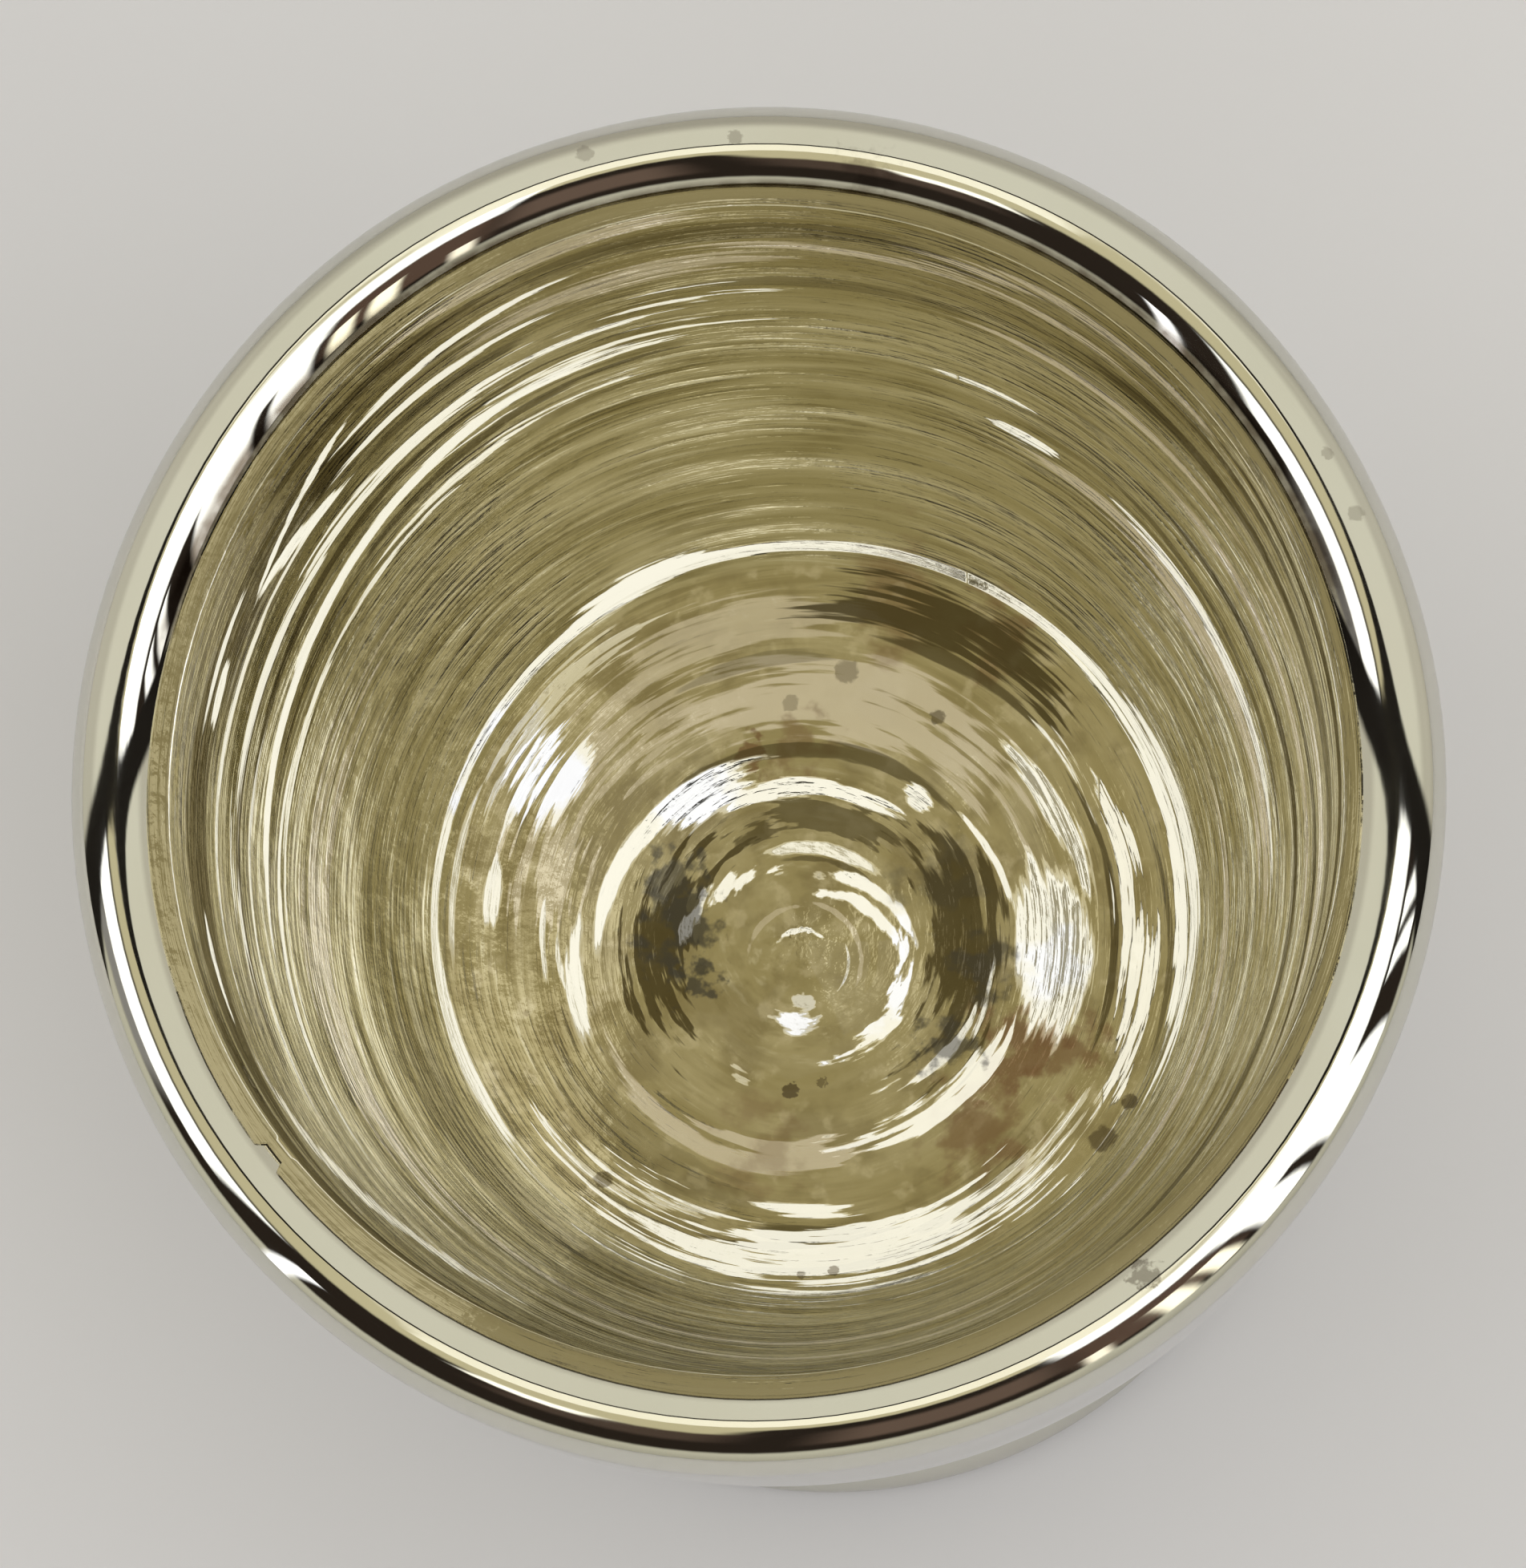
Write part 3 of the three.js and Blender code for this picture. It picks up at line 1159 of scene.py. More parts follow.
class GlassFinish(Finish):
    """Clear blown glass with a few faint smears."""

    tints: tuple[Colour, Colour] = (linear(248, 252, 248), linear(255, 255, 253))
    smears: Ramp = (0.62, 0.8, 0.0, 0.04)
    refraction: float = 1.5

    def __init__(self, effects: Effects) -> None:
        """Builds the glass.

        Args:
            effects: The shared effects.
        """
        super().__init__(Slot.GLASS, effects)
        cloud = self.wiring.use(effects.grain, Size=9.0)
        self.put("Base Color", self.wiring.mix(cloud, *self.tints))
        streak = self.wiring.use(effects.streaks, Around=3.0, Pitch=0.7)
        self.put("Roughness", self.wiring.ramp(streak, *self.smears))
        self.put("IOR", self.refraction)
        self.put("Transmission Weight", 1.0)


class SilverFinish(Finish):
    """Old silver film seen through glass, with a few tarnished spots, and darker on the outer wall by a duller film
    and by painted shade. Places are in millimetres.
    """

    spots: tuple[Spot, ...] = (
        Spot((-6.9, 26.1, 78.8), 0.42, 0.35),
        Spot((-0.7, 26.7, 78.9), 0.36, 0.4),
        Spot((24.4, 10.6, 78.8), 0.4, 0.35),
        Spot((23.3, 13.1, 78.8), 0.3, 0.35),
        Spot((15.6, -20.15, 78.9), 0.7, 0.6, 0.5),
        Spot((4.6, 25.2, 78.7), 1.3, 0.35, 0.8, 0.8),
    )
    tones: tuple[Colour, Colour] = ((0.93, 0.91, 0.85), (0.89, 0.865, 0.79))
    clouds: Ramp = (0.35, 0.65, 0.0, 1.0)
    haze: Ramp = (0.4, 0.75, 0.02, 0.06)
    speck_strength: float = 0.45
    speck_tone: Colour = (0.20, 0.16, 0.11)
    spot_tone: Colour = (0.17, 0.13, 0.09)
    foxed_tone: Colour = (0.15, 0.11, 0.07)
    foxed_radii: Ramp = (24.85, 25.2, 1.0, 0.0)
    foxed_heights: Ramp = (68.0, 71.0, 0.0, 1.0)
    foxed_side: Ramp = (2.0, 9.0, 0.0, 0.95)
    foxed_patches: Ramp = (0.35, 0.6, 0.7, 1.0)
    # Darker film on the outer wall: partly a duller film, partly painted shade.
    flank_dull_and_shade_tone: Colour = (0.68, 0.66, 0.61)
    flank_radii: Ramp = (27.15, 27.45, 0.0, 1.0)
    flank_heights: Ramp = (72.0, 75.0, 1.0, 0.0)

    def __init__(self, effects: Effects) -> None:
        """Builds the silver.

        Args:
            effects: The shared effects.
        """
        super().__init__(Slot.SILVER, effects)
        cloud = self.wiring.use(effects.grain, Size=14.0)
        colour = self.wiring.mix(self.wiring.ramp(cloud, *self.clouds), *self.tones)
        specks = self.wiring.use(effects.specks, Spacing=4.5, Share=0.16, Size=0.08)
        colour = self.lay(colour, self.speck_tone, specks, self.speck_strength)
        colour = self.lay(colour, self.foxed_tone, self.foxed())
        # Duller film and painted shade on the outer wall.
        colour = self.lay(colour, self.flank_dull_and_shade_tone, self.outside())
        self.put("Base Color", self.spotted(colour, self.spots, self.spot_tone))
        self.put("Metallic", 1.0)
        streak = self.wiring.use(effects.streaks, Around=2.0, Pitch=3.0)
        self.put("Roughness", self.wiring.ramp(streak, *self.haze))

    def outside(self) -> Socket:
        """Gives 1 on the outer wall, which is darker by a duller film and by painted shade of the shaded floor it
        mirrors, and 0 on the rim and inside.

        Returns:
            The mask's socket.
        """
        wiring = self.wiring
        x, y, z = wiring.place()
        flank = wiring.ramp(wiring.length(x, y), *self.flank_radii)
        return wiring.math("MAXIMUM", flank, wiring.ramp(z, *self.flank_heights))

    def foxed(self) -> Socket:
        """Browns the film unevenly on the inner slope of the rim's far side.

        Returns:
            The mask's socket.
        """
        wiring = self.wiring
        x, y, z = wiring.place()
        inner = wiring.ramp(wiring.length(x, y), *self.foxed_radii)
        inner = wiring.times(inner, wiring.ramp(z, *self.foxed_heights))
        patchy = wiring.ramp(wiring.use(self.effects.grain, Size=1.3), *self.foxed_patches)
        return wiring.times(wiring.times(inner, patchy), wiring.ramp(y, *self.foxed_side))


@dataclass(frozen=True)
class StainEdge:
    """The upper edge of the gold, with a paler band under it that a thin line ends. Lengths are in millimetres.

    Where the turning stopped, a small notch breaks the edge and the line. Its place is a direction in plan.
    """

    rise: float = 1.4
    tilt: float = 0.013
    spare: float = 0.05
    band: float = 1.3
    band_softness: float = 0.05
    band_strength: float = 0.7
    line: float = 0.12
    line_strength: float = 0.8
    notch_place: Point = (-0.788, -0.616)
    notch_width: float = 0.012
    notch_depth: float = 0.35

    def cut_height(self, form: CupForm) -> float:
        """Gives the height at which the mesh is cut, a little above the edge that shows."""
        return form.fold_centre[1] + self.rise + self.spare

    def depth(self, wiring: Wiring, form: CupForm) -> tuple[Socket, Socket]:
        """Measures how far a place lies under the edge.

        Args:
            wiring: The material's nodes.
            form: The cup's sizes.

        Returns:
            The depth with the notch taken out of the edge, and the depth with the notch mirrored below.
        """
        x, y, z = wiring.place()
        lean = wiring.times(y, self.tilt)
        depth = wiring.minus(form.fold_centre[1] + self.rise, wiring.plus(z, lean))
        towards = wiring.plus(wiring.times(x, self.notch_place[0]), wiring.times(y, self.notch_place[1]))
        turn = wiring.math("ARCCOSINE", wiring.over(towards, wiring.length(x, y)))
        notch = wiring.ramp(turn, 0.0, self.notch_width * 2, self.notch_depth, 0.0)
        return wiring.minus(depth, notch), wiring.plus(depth, notch)


@dataclass(frozen=True)
class GoldTones:
    """Colours of the gold and of what lies on it."""

    ground: tuple[Colour, Colour] = ((0.44, 0.395, 0.225), (0.66, 0.615, 0.43))
    # Painted dark streaks, in place of the ripples' reflections.
    painted_dark_streak: Colour = (0.25, 0.21, 0.09)
    # Painted bright streaks, in place of the ripples' reflections.
    painted_bright_streak: Colour = (0.98, 0.96, 0.82)
    # Painted shade on the left and near sides.
    side: Colour = (0.27, 0.235, 0.12)
    # Painted shade on the wall under the rim.
    painted_shade_under_rim: Colour = (0.30, 0.255, 0.12)
    bottom: Colour = (0.53, 0.465, 0.275)
    bottom_dark: Colour = (0.27, 0.22, 0.11)
    bottom_light: Colour = (0.80, 0.74, 0.56)
    # Tone of the painted pale reflections.
    pale: Colour = (0.93, 0.86, 0.74)
    # Painted shade, laid by the shade strokes.
    shade: Colour = (0.10, 0.078, 0.032)
    # Tone of the painted highlights, which the windows' reflection lights.
    gleam: Colour = (0.64, 0.615, 0.51)
    # Cooler tone of some painted highlights.
    cool_gleam: Colour = (0.68, 0.69, 0.72)
    brown: Colour = (0.27, 0.16, 0.09)
    # Tone of the dark spots in the well.
    dark_mottle: Colour = (0.09, 0.085, 0.075)
    speck: Colour = (0.20, 0.15, 0.08)
    spot: Colour = (0.13, 0.10, 0.055)
    band: Colour = (0.44, 0.40, 0.27)
    line: Colour = (0.98, 0.97, 0.90)


@dataclass(frozen=True)
class GoldRamps:
    """Where the gold changes: two values or places in millimetres, and the results there."""

    ground: Ramp = (0.35, 0.68, 0.0, 1.0)
    uneven: Ramp = (0.42, 0.60, 0.1, 1.0)
    # Painted dark and bright streaks, and how much stronger the bright ones are on the left.
    painted_dark_streak: Ramp = (0.46, 0.66, 0.0, 0.75)
    painted_bright_streak: Ramp = (0.42, 0.28, 0.0, 1.0)
    painted_bright_side: Ramp = (-8.0, 8.0, 0.8, 0.3)
    # Where the painted shade of the left and near sides lies.
    painted_shade_left: Ramp = (-23.0, -13.0, 0.7, 0.0)
    painted_shade_left_heights: Ramp = (60.0, 68.0, 0.0, 1.0)
    painted_shade_near: Ramp = (-23.0, -11.0, 0.4, 0.0)
    # Where the painted shade under the rim lies.
    painted_shade_under_rim: Ramp = (60.0, 73.0, 0.0, 0.6)
    bottom: Ramp = (-0.6, 0.2, 0.5, 0.0)
    bottom_dark: Ramp = (0.48, 0.64, 0.0, 0.9)
    bottom_light: Ramp = (0.44, 0.32, 0.0, 0.9)
    metal: Ramp = (-22.0, -6.0, 0.84, 0.93)
    roughness: Ramp = (0.8, 1.25, 0.03, 0.11)
    coat: Ramp = (0.0, 1.0, 0.3, 0.0)
    alpha: Ramp = (-0.02, 0.02, 0.0, 1.0)
    calm: Ramp = (0.35, 0.7, 0.96, 0.88)
    calm_side: Ramp = (-15.0, -6.0, 0.0, 1.0)
    window_side: Ramp = (7.9, 8.1, 0.0, 1.0)
    bottom_radii: Ramp = (17.3, 17.5, 1.0, 0.0)
    bottom_side: Ramp = (14.0, 14.2, 1.0, 0.0)


@dataclass(frozen=True)
class GoldFacings:
    """Directions that the gold is turned to: the calm bowl towards the ceiling, the gleams to the windows."""

    calm: Triple = (-0.117, -0.108, 0.987)
    calm_left: Triple = (-0.055, -0.132, 0.990)
    gleam_bottom: Triple = (0.136, -0.030, 0.990)
    gleam_left: Triple = (0.243, -0.184, 0.952)
    gleam_right: Triple = (-0.319, -0.099, 0.943)


class GoldFinish(Finish):
    """Gold stain over silvering, streaked round the bowl and spotted with age, with painted light in its colour:
    highlights, pale reflections, shade, and light and dark streaks.
    """

    spots: tuple[Spot, ...] = (
        BottomSpot((14.1, -10.2, 0.0), 0.72, 0.75),
        BottomSpot((15.4, -8.5, 0.0), 0.45, 0.8),
        BottomSpot((2.2, 12.5, 0.0), 0.62, 0.5),
        BottomSpot((-0.5, 11.1, 0.0), 0.45, 0.4),
        BottomSpot((6.5, 10.3, 0.0), 0.4, 0.7),
        BottomSpot((-0.6, -7.3, 0.0), 0.45, 0.85, 0.6),
        BottomSpot((-9.2, -11.8, 0.0), 0.5, 0.7),
        BottomSpot((1.6, -16.2, 0.0), 0.3, 0.7),
        BottomSpot((0.1, -16.4, 0.0), 0.25, 0.6),
        BottomSpot((0.9, -6.9, 0.0), 0.3, 0.6, 0.6),
    )
    # Dark spots in the well.
    dark_mottle: tuple[Spot, ...] = (
        BottomSpot((-5.7, 0.4, 0.0), 2.1, 0.85, 0.9, 0.5),
        BottomSpot((-6.3, 2.8, 0.0), 1.7, 0.75, 0.9, 0.6),
        BottomSpot((-4.9, -1.7, 0.0), 1.2, 0.85, 1.0, 0.6),
        BottomSpot((8.2, -1.4, 0.0), 1.9, 0.7, 0.8, 0.6),
        BottomSpot((7.0, -4.9, 0.0), 1.6, 0.75, 1.0, 0.6),
        BottomSpot((6.4, 2.8, 0.0), 2.2, 0.35, 0.8, 0.6),
    )
    brown: tuple[Spot, ...] = (
        BottomSpot((0.1, 9.0, 0.0), 1.8, 0.5, 0.9, 0.8),
        BottomSpot((10.4, -5.4, 0.0), 2.4, 0.8, 0.9, 0.6),
        BottomSpot((12.4, -5.6, 0.0), 2.0, 0.7, 0.9, 0.8),
        BottomSpot((8.4, -9.4, 0.0), 2.6, 0.65, 0.9, 0.8),
        BottomSpot((-2.4, 8.7, 0.0), 1.0, 0.8, 0.8, 0.5),
        BottomSpot((4.6, 15.4, 0.0), 2.8, 0.45, 0.5, 0.6),
        BottomSpot((9.4, 13.5, 0.0), 2.2, 0.5, 0.8, 0.7),
        BottomSpot((-2.0, -10.2, 0.0), 2.5, 0.35, 0.9, 0.8),
    )
    # Patches where the painted highlights are cooler.
    cool_gleam: tuple[Spot, ...] = (
        BottomSpot((-12.6, 7.4, 0.0), 3.4, 0.95, 0.5, 0.4),
        BottomSpot((0.6, -3.9, 0.0), 2.8, 0.9, 0.4, 0.4),
        BottomSpot((4.6, -1.4, 0.0), 2.6, 0.8, 0.5, 0.5),
        BottomSpot((12.2, -1.6, 0.0), 2.2, 0.7, 0.5, 0.6),
        BottomSpot((-5.2, 6.8, 0.0), 2.4, 0.7, 0.5, 0.5),
    )
    tracks: tuple[Track, ...] = (CREASE_TRACK, WELL_TRACK, WALL_TRACK)
    tones: GoldTones = GoldTones()
    ramps: GoldRamps = GoldRamps()
    facings: GoldFacings = GoldFacings()
    # How much less metallic the gold is where a pale reflection is painted.
    pale_reflection_dullness: float = 0.2
    speck_strength: float = 0.5
    coat_refraction: float = 1.5
    coat_roughness: float = 0.01
    relief: float = 0.02

    def __init__(self, effects: Effects, form: CupForm, edge: StainEdge) -> None:
        """Builds the gold.

        Args:
            effects: The shared effects.
            form: The cup's sizes.
            edge: The sizes of the gold's edge.
        """
        super().__init__(Slot.GOLD, effects)
        wiring, ramps = self.wiring, self.ramps
        self.x, self.y, self.z = wiring.place()
        self.wide = wiring.use(effects.streaks, Around=1.6, Pitch=1.7, Shift=4.0)
        self.fine = wiring.use(effects.streaks, Around=2.6, Pitch=0.45, Shift=21.0)
        colour = self.streaked()
        # The strokes' painted highlights, pale reflections and shade.
        painted_light_marks = self.painted_light_marks()
        colour = self.with_bottom(colour, form.ledge_z)
        colour = self.marked(colour, painted_light_marks)
        depth, mirrored = edge.depth(wiring, form)
        self.put("Base Color", self.edged(colour, mirrored, edge))
        # Less metallic where a pale reflection is painted.
        metal = wiring.ramp(self.y, *ramps.metal)
        self.put("Metallic", wiring.minus(metal, wiring.times(painted_light_marks[Tone.PALE_REFLECTION], self.pale_reflection_dullness)))
        self.put("Roughness", wiring.ramp(wiring.plus(self.wide, self.fine), *ramps.roughness))
        # The coat is thinned where shade is painted, so that the painted shade stays dark.
        self.put("Coat Weight", wiring.ramp(painted_light_marks[Tone.SHADE], *ramps.coat))
        self.put("Coat IOR", self.coat_refraction)
        self.put("Coat Roughness", self.coat_roughness)
        self.put("Alpha", wiring.ramp(depth, *ramps.alpha))
        # Painted highlights: the facing is turned to the windows where a gleam is laid.
        facing = self.facing(painted_light_marks[Tone.GLEAM])
        self.bump(wiring.plus(self.fine, wiring.use(effects.grain, Size=1.4)), self.relief, facing)

    def streaked(self) -> Socket:
        """Streaks the ground, lays painted light and dark streaks over it, and lays painted shade on the left and
        near sides and on the wall under the rim.

        Returns:
            The socket of the colour.
        """
        wiring, tones, ramps = self.wiring, self.tones, self.ramps
        uneven = wiring.ramp(wiring.use(self.effects.grain, Size=9.0), *ramps.uneven)
        colour = self.lay(*tones.ground, wiring.ramp(self.wide, *ramps.ground))
        # Painted reflections of the ripples: dark streaks, then bright streaks that are stronger on the left.
        colour = self.lay(colour, tones.painted_dark_streak, wiring.ramp(self.fine, *ramps.painted_dark_streak), uneven)
        painted_bright = wiring.ramp(self.fine, *ramps.painted_bright_streak)
        colour = self.lay(colour, tones.painted_bright_streak, painted_bright, wiring.ramp(self.x, *ramps.painted_bright_side), uneven)
        # Painted shade on the left side high up and on the near side.
        left = wiring.times(wiring.ramp(self.x, *ramps.painted_shade_left), wiring.ramp(self.z, *ramps.painted_shade_left_heights))
        colour = self.lay(colour, tones.side, wiring.math("MAXIMUM", left, wiring.ramp(self.y, *ramps.painted_shade_near)))
        # Painted shade on the wall under the rim.
        return self.lay(colour, tones.painted_shade_under_rim, wiring.ramp(self.z, *ramps.painted_shade_under_rim))

    def with_bottom(self, colour: Socket, ledge_z: float) -> Socket:
        """Tones and mottles the bowl's bottom.

        Args:
            colour: The colour underneath.
            ledge_z: Height of the bottom's edge in millimetres.

        Returns:
            The socket of the result.
        """
        wiring, tones, ramps = self.wiring, self.tones, self.ramps
        low, high, start, end = ramps.bottom
        bottom = wiring.ramp(self.z, ledge_z + low, ledge_z + high, start, end)
        colour = self.lay(colour, tones.bottom, bottom)
        for size, ramp, tone in ((2.6, ramps.bottom_dark, tones.bottom_dark),
                                 (1.5, ramps.bottom_light, tones.bottom_light)):
            mottled = wiring.ramp(wiring.use(self.effects.grain, Size=size), *ramp)
            colour = self.lay(colour, tone, mottled, bottom)
        return colour

    def marked(self, colour: Socket, painted_light_marks: dict[Tone, Socket]) -> Socket:
        """Lays the strokes' painted highlights, pale reflections and shade, and all spots.

        Args:
            colour: The colour underneath.
            painted_light_marks: How strongly each tone is laid.

        Returns:
            The socket of the result.
        """
        tones = self.tones
        # Painted pale reflections.
        colour = self.lay(colour, tones.pale, painted_light_marks[Tone.PALE_REFLECTION])
        colour = self.spotted(colour, self.brown, tones.brown)
        # Painted shade.
        colour = self.lay(colour, tones.shade, painted_light_marks[Tone.SHADE])
        # Painted highlights, cooler in some patches.
        colour = self.lay(colour, self.spotted(tones.gleam, self.cool_gleam, tones.cool_gleam), painted_light_marks[Tone.GLEAM])
        # Dark spots in the well.
        colour = self.spotted(colour, self.dark_mottle, tones.dark_mottle)
        specks = self.wiring.use(self.effects.specks, Spacing=2.6, Share=0.14, Size=0.1)
        colour = self.lay(colour, tones.speck, specks, self.speck_strength)
        return self.spotted(colour, self.spots, tones.spot)

    def edged(self, colour: Socket, below: Socket, edge: StainEdge) -> Socket:
        """Lays the paler band under the gold's edge, and the thin line that ends it.

        Args:
            colour: The colour underneath.
            below: How far a place lies under the edge, in millimetres.
            edge: The edge's sizes.

        Returns:
            The socket of the result.
        """
        wiring = self.wiring
        in_band = wiring.ramp(below, edge.band - edge.band_softness, edge.band + edge.band_softness, 1.0, 0.0)
        colour = self.lay(colour, self.tones.band, in_band, edge.band_strength)
        off_line = wiring.math("ABSOLUTE", wiring.minus(below, edge.band))
        on_line = wiring.ramp(off_line, edge.line / 2, edge.line, 1.0, 0.0)
        return self.lay(colour, self.tones.line, on_line, edge.line_strength)

    def facing(self, gleam: Socket) -> Socket:
        """Turns the surface's direction: the bowl lies calmer than its mesh, and gleams face the windows.

        Args:
            gleam: How strongly a painted highlight is laid.

        Returns:
            The direction's socket.
        """
        wiring, ramps, facings = self.wiring, self.ramps, self.facings
        away = wiring.length(self.x, self.y)
        turned = wiring.node("ShaderNodeNewGeometry").outputs["Normal"]
        calm_share = wiring.ramp(self.wide, *ramps.calm)
        calm = wiring.blend(wiring.ramp(self.x, *ramps.calm_side), facings.calm_left, facings.calm)
        turned = wiring.blend(calm_share, turned, calm)
        window = wiring.blend(wiring.ramp(self.x, *ramps.window_side), facings.gleam_left, facings.gleam_right)
        on_bottom = wiring.ramp(away, *ramps.bottom_radii)
        on_bottom = wiring.times(on_bottom, wiring.ramp(self.x, *ramps.bottom_side))
        window = wiring.blend(on_bottom, window, facings.gleam_bottom)
        turned = wiring.blend(gleam, turned, window)
        return wiring.vector("NORMALIZE", turned).outputs[0]

    def painted_light_marks(self) -> dict[Tone, Socket]:
        """Lays all strokes of painted light and shade, frayed by the fine streaks.

        Returns:
            How strongly each tone is laid at a place.
        """
        wiring = self.wiring
        laid: dict[Tone, Socket] = {}
        for track in self.tracks:
            right = wiring.minus(self.x, track.centre[0])
            beyond = wiring.minus(self.y, track.centre[1])
            around = wiring.times(wiring.math("ARCTAN2", right, beyond), DEGREES)
            along = self.z if track.upright else wiring.length(right, beyond)
            for tone, stroke in ((tone, stroke) for tone, strokes in track.strokes.items() for stroke in strokes):
                mask = wiring.use(self.effects.stroke, Around=around, Along=along, Streak=self.fine,
                                  Heading=stroke.heading, Span=stroke.span, Reach=stroke.reach,
                                  Width=stroke.width, Lean=stroke.lean, Fray=stroke.fray)
                mask = wiring.times(mask, stroke.strength)
                laid[tone] = wiring.math("MAXIMUM", laid[tone], mask) if tone in laid else mask
        return laid


class PlainFinish(Finish):
    """A dry matt finish with a fine grain and pits."""

    mottling: Ramp = (0.3, 0.7, 0.0, 1.0)
    roughness: Ramp = (0.2, 0.8, 0.75, 0.95)
    pit_spacing: float = 2.4
    pit_strength: float = 0.6
    relief: float = 0.25

    def __init__(self, slot: Slot, effects: Effects, light: Colour, dark: Colour, grain: float) -> None:
        """Builds the finish from its two tones and the size of its grain in millimetres.

        Args:
            slot: The record's slot.
            effects: The shared effects.
            light: The lighter tone.
            dark: The darker tone, which the pits have too.
            grain: The size of the grain.
        """
        super().__init__(slot, effects)
        speck = self.wiring.use(effects.grain, Size=grain)
        colour = self.wiring.mix(self.wiring.ramp(speck, *self.mottling), dark, light)
        pits = self.wiring.use(effects.specks, Spacing=self.pit_spacing * grain, Share=0.35, Size=0.35)
        self.put("Base Color", self.wiring.mix(self.wiring.times(pits, self.pit_strength), colour, dark))
        self.put("Roughness", self.wiring.ramp(speck, *self.roughness))
        self.bump(self.wiring.minus(speck, pits), self.relief)


@dataclass
class GlassBody:
    """The blown wall: bowl, fold, outer wall, stem, foot and underside in one piece."""

    surface: Piece
    effects: Effects
    wall: float = 0.25

    def build(self) -> Piece:
        """Gives the blown surface its wall and dresses it.

        Returns:
            The finished piece.
        """
        piece = copy_of(self.surface, "blown_glass_body")
        wall_up(piece, self.wall)
        GlassFinish(self.effects).dress(piece)
        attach(piece, "root")
        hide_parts("glass_body")
        return piece


@dataclass
class SilverLining:
    """The silver film in the cavity."""

    surface: Piece
    effects: Effects
    depth: float = 0.03
    thickness: float = 0.08

    def build(self) -> Piece:
        """Lays the film behind the wall and dresses it.

        Returns:
            The finished piece.
        """
        piece = copy_of(self.surface, "silver_film")
        fatten(piece, -self.depth)
        wall_up(piece, self.thickness)
        SilverFinish(self.effects).dress(piece)
        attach(piece, "root")
        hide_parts("silver_lining")
        return piece


@dataclass
class GoldStain:
    """The gold layer inside the bowl, which ends at a slightly tilted edge on the fold."""

    form: CupForm
    surface: Piece
    effects: Effects
    edge: StainEdge = StainEdge()
    gap: float = 0.04
    thickness: float = 0.06

    def build(self) -> Piece:
        """Cuts the bowl's part from the blown surface, and lays the gold on it.

        Returns:
            The finished piece.
        """
        piece = copy_of(self.surface, "gold_bowl_layer")
        select_where(piece, lambda place: True)
        cut_z = self.edge.cut_height(self.form) * MM
        bpy.ops.mesh.bisect(plane_co=(0, 0, cut_z), plane_no=(0, self.edge.tilt, 1), clear_outer=True)
        bpy.ops.object.mode_set(mode="OBJECT")
        select_where(piece, lambda place: math.hypot(place.x, place.y) < 1.0 and place.z > self.form.well_floor_z)
        bpy.ops.mesh.select_linked()
        bpy.ops.mesh.select_all(action="INVERT")
        bpy.ops.mesh.delete(type="VERT")
        bpy.ops.object.mode_set(mode="OBJECT")
        fatten(piece, self.gap + self.thickness)
        wall_up(piece, self.thickness)
        GoldFinish(self.effects, self.form, self.edge).dress(piece)
        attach(piece, "root")
        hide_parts("gold_stain")
        return piece


@dataclass
class BaseClosure:
    """The cork in the filling hole and the plaster over it."""

    form: CupForm
    effects: Effects
    clearance: float = 0.3
    cork_length: float = 6.0
    cork_taper: float = 0.4
    cork_rounding: float = 0.6
    cork_edge: float = 0.3
    cork_tones: tuple[Colour, Colour] = (linear(176, 134, 92), linear(92, 62, 38))
    cork_grain: float = 0.5
    cork_steps: int = 64
    seal_diameter: float = 14.0
    seal_thickness: float = 0.9
    seal_rounding: float = 0.4
    seal_tones: tuple[Colour, Colour] = (linear(226, 219, 203), linear(186, 174, 150))
    seal_grain: float = 0.8
    seal_steps: int = 96

    def build(self) -> list[Piece]:
        """Models the cork and the seal.

        Returns:
            The finished pieces.
        """
        return [self.build_cork(), self.build_seal()]

    def build_cork(self) -> Piece:
        """Models the tapered cork.

        Returns:
            The finished piece.
        """
        radius = self.form.hole_diameter / 2 - self.clearance
        bottom = self.form.base_rise
        top = bottom + self.cork_length
        narrow = radius - self.cork_taper
        corner = (narrow - self.cork_rounding, top - self.cork_rounding)
        edge = self.cork_edge
        section = join(
            [(0.0, top), (corner[0], top)],
            self.form.arc(corner, self.cork_rounding, 90, 0, 6),
            [(narrow, corner[1]), (radius, bottom + edge), (radius - edge, bottom)],
            [(radius - edge, bottom), (0.0, bottom)],
        )
        piece = spin_section("cork_stopper", section, self.cork_steps)
        PlainFinish(Slot.CORK, self.effects, *self.cork_tones, self.cork_grain).dress(piece)
        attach(piece, "root")
        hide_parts("cork_plug")
        return piece

    def build_seal(self) -> Piece:
        """Models the disc of plaster.

        Returns:
            The finished piece.
        """
        top = self.form.base_rise - self.clearance
        bottom = top - self.seal_thickness
        radius = self.seal_diameter / 2
        corner = (radius - self.seal_rounding, bottom + self.seal_rounding)
        section = join(
            [(0.0, top), (radius, top), (radius, corner[1])],
            self.form.arc(corner, self.seal_rounding, 0, DOWN, 6),
            [(corner[0], bottom), (0.0, bottom)],
        )
        piece = spin_section("plaster_disc", section, self.seal_steps)
        PlainFinish(Slot.PLASTER, self.effects, *self.seal_tones, self.seal_grain).dress(piece)
        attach(piece, "root")
        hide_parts("plaster_seal")
        return piece


@dataclass(frozen=True)
class SkyPatch:
    """A soft-edged area of the surroundings, in degrees clockwise from the far side and above the table."""

    azimuth: Span
    height: Span
    colour: Colour
    edge: float = 3.0


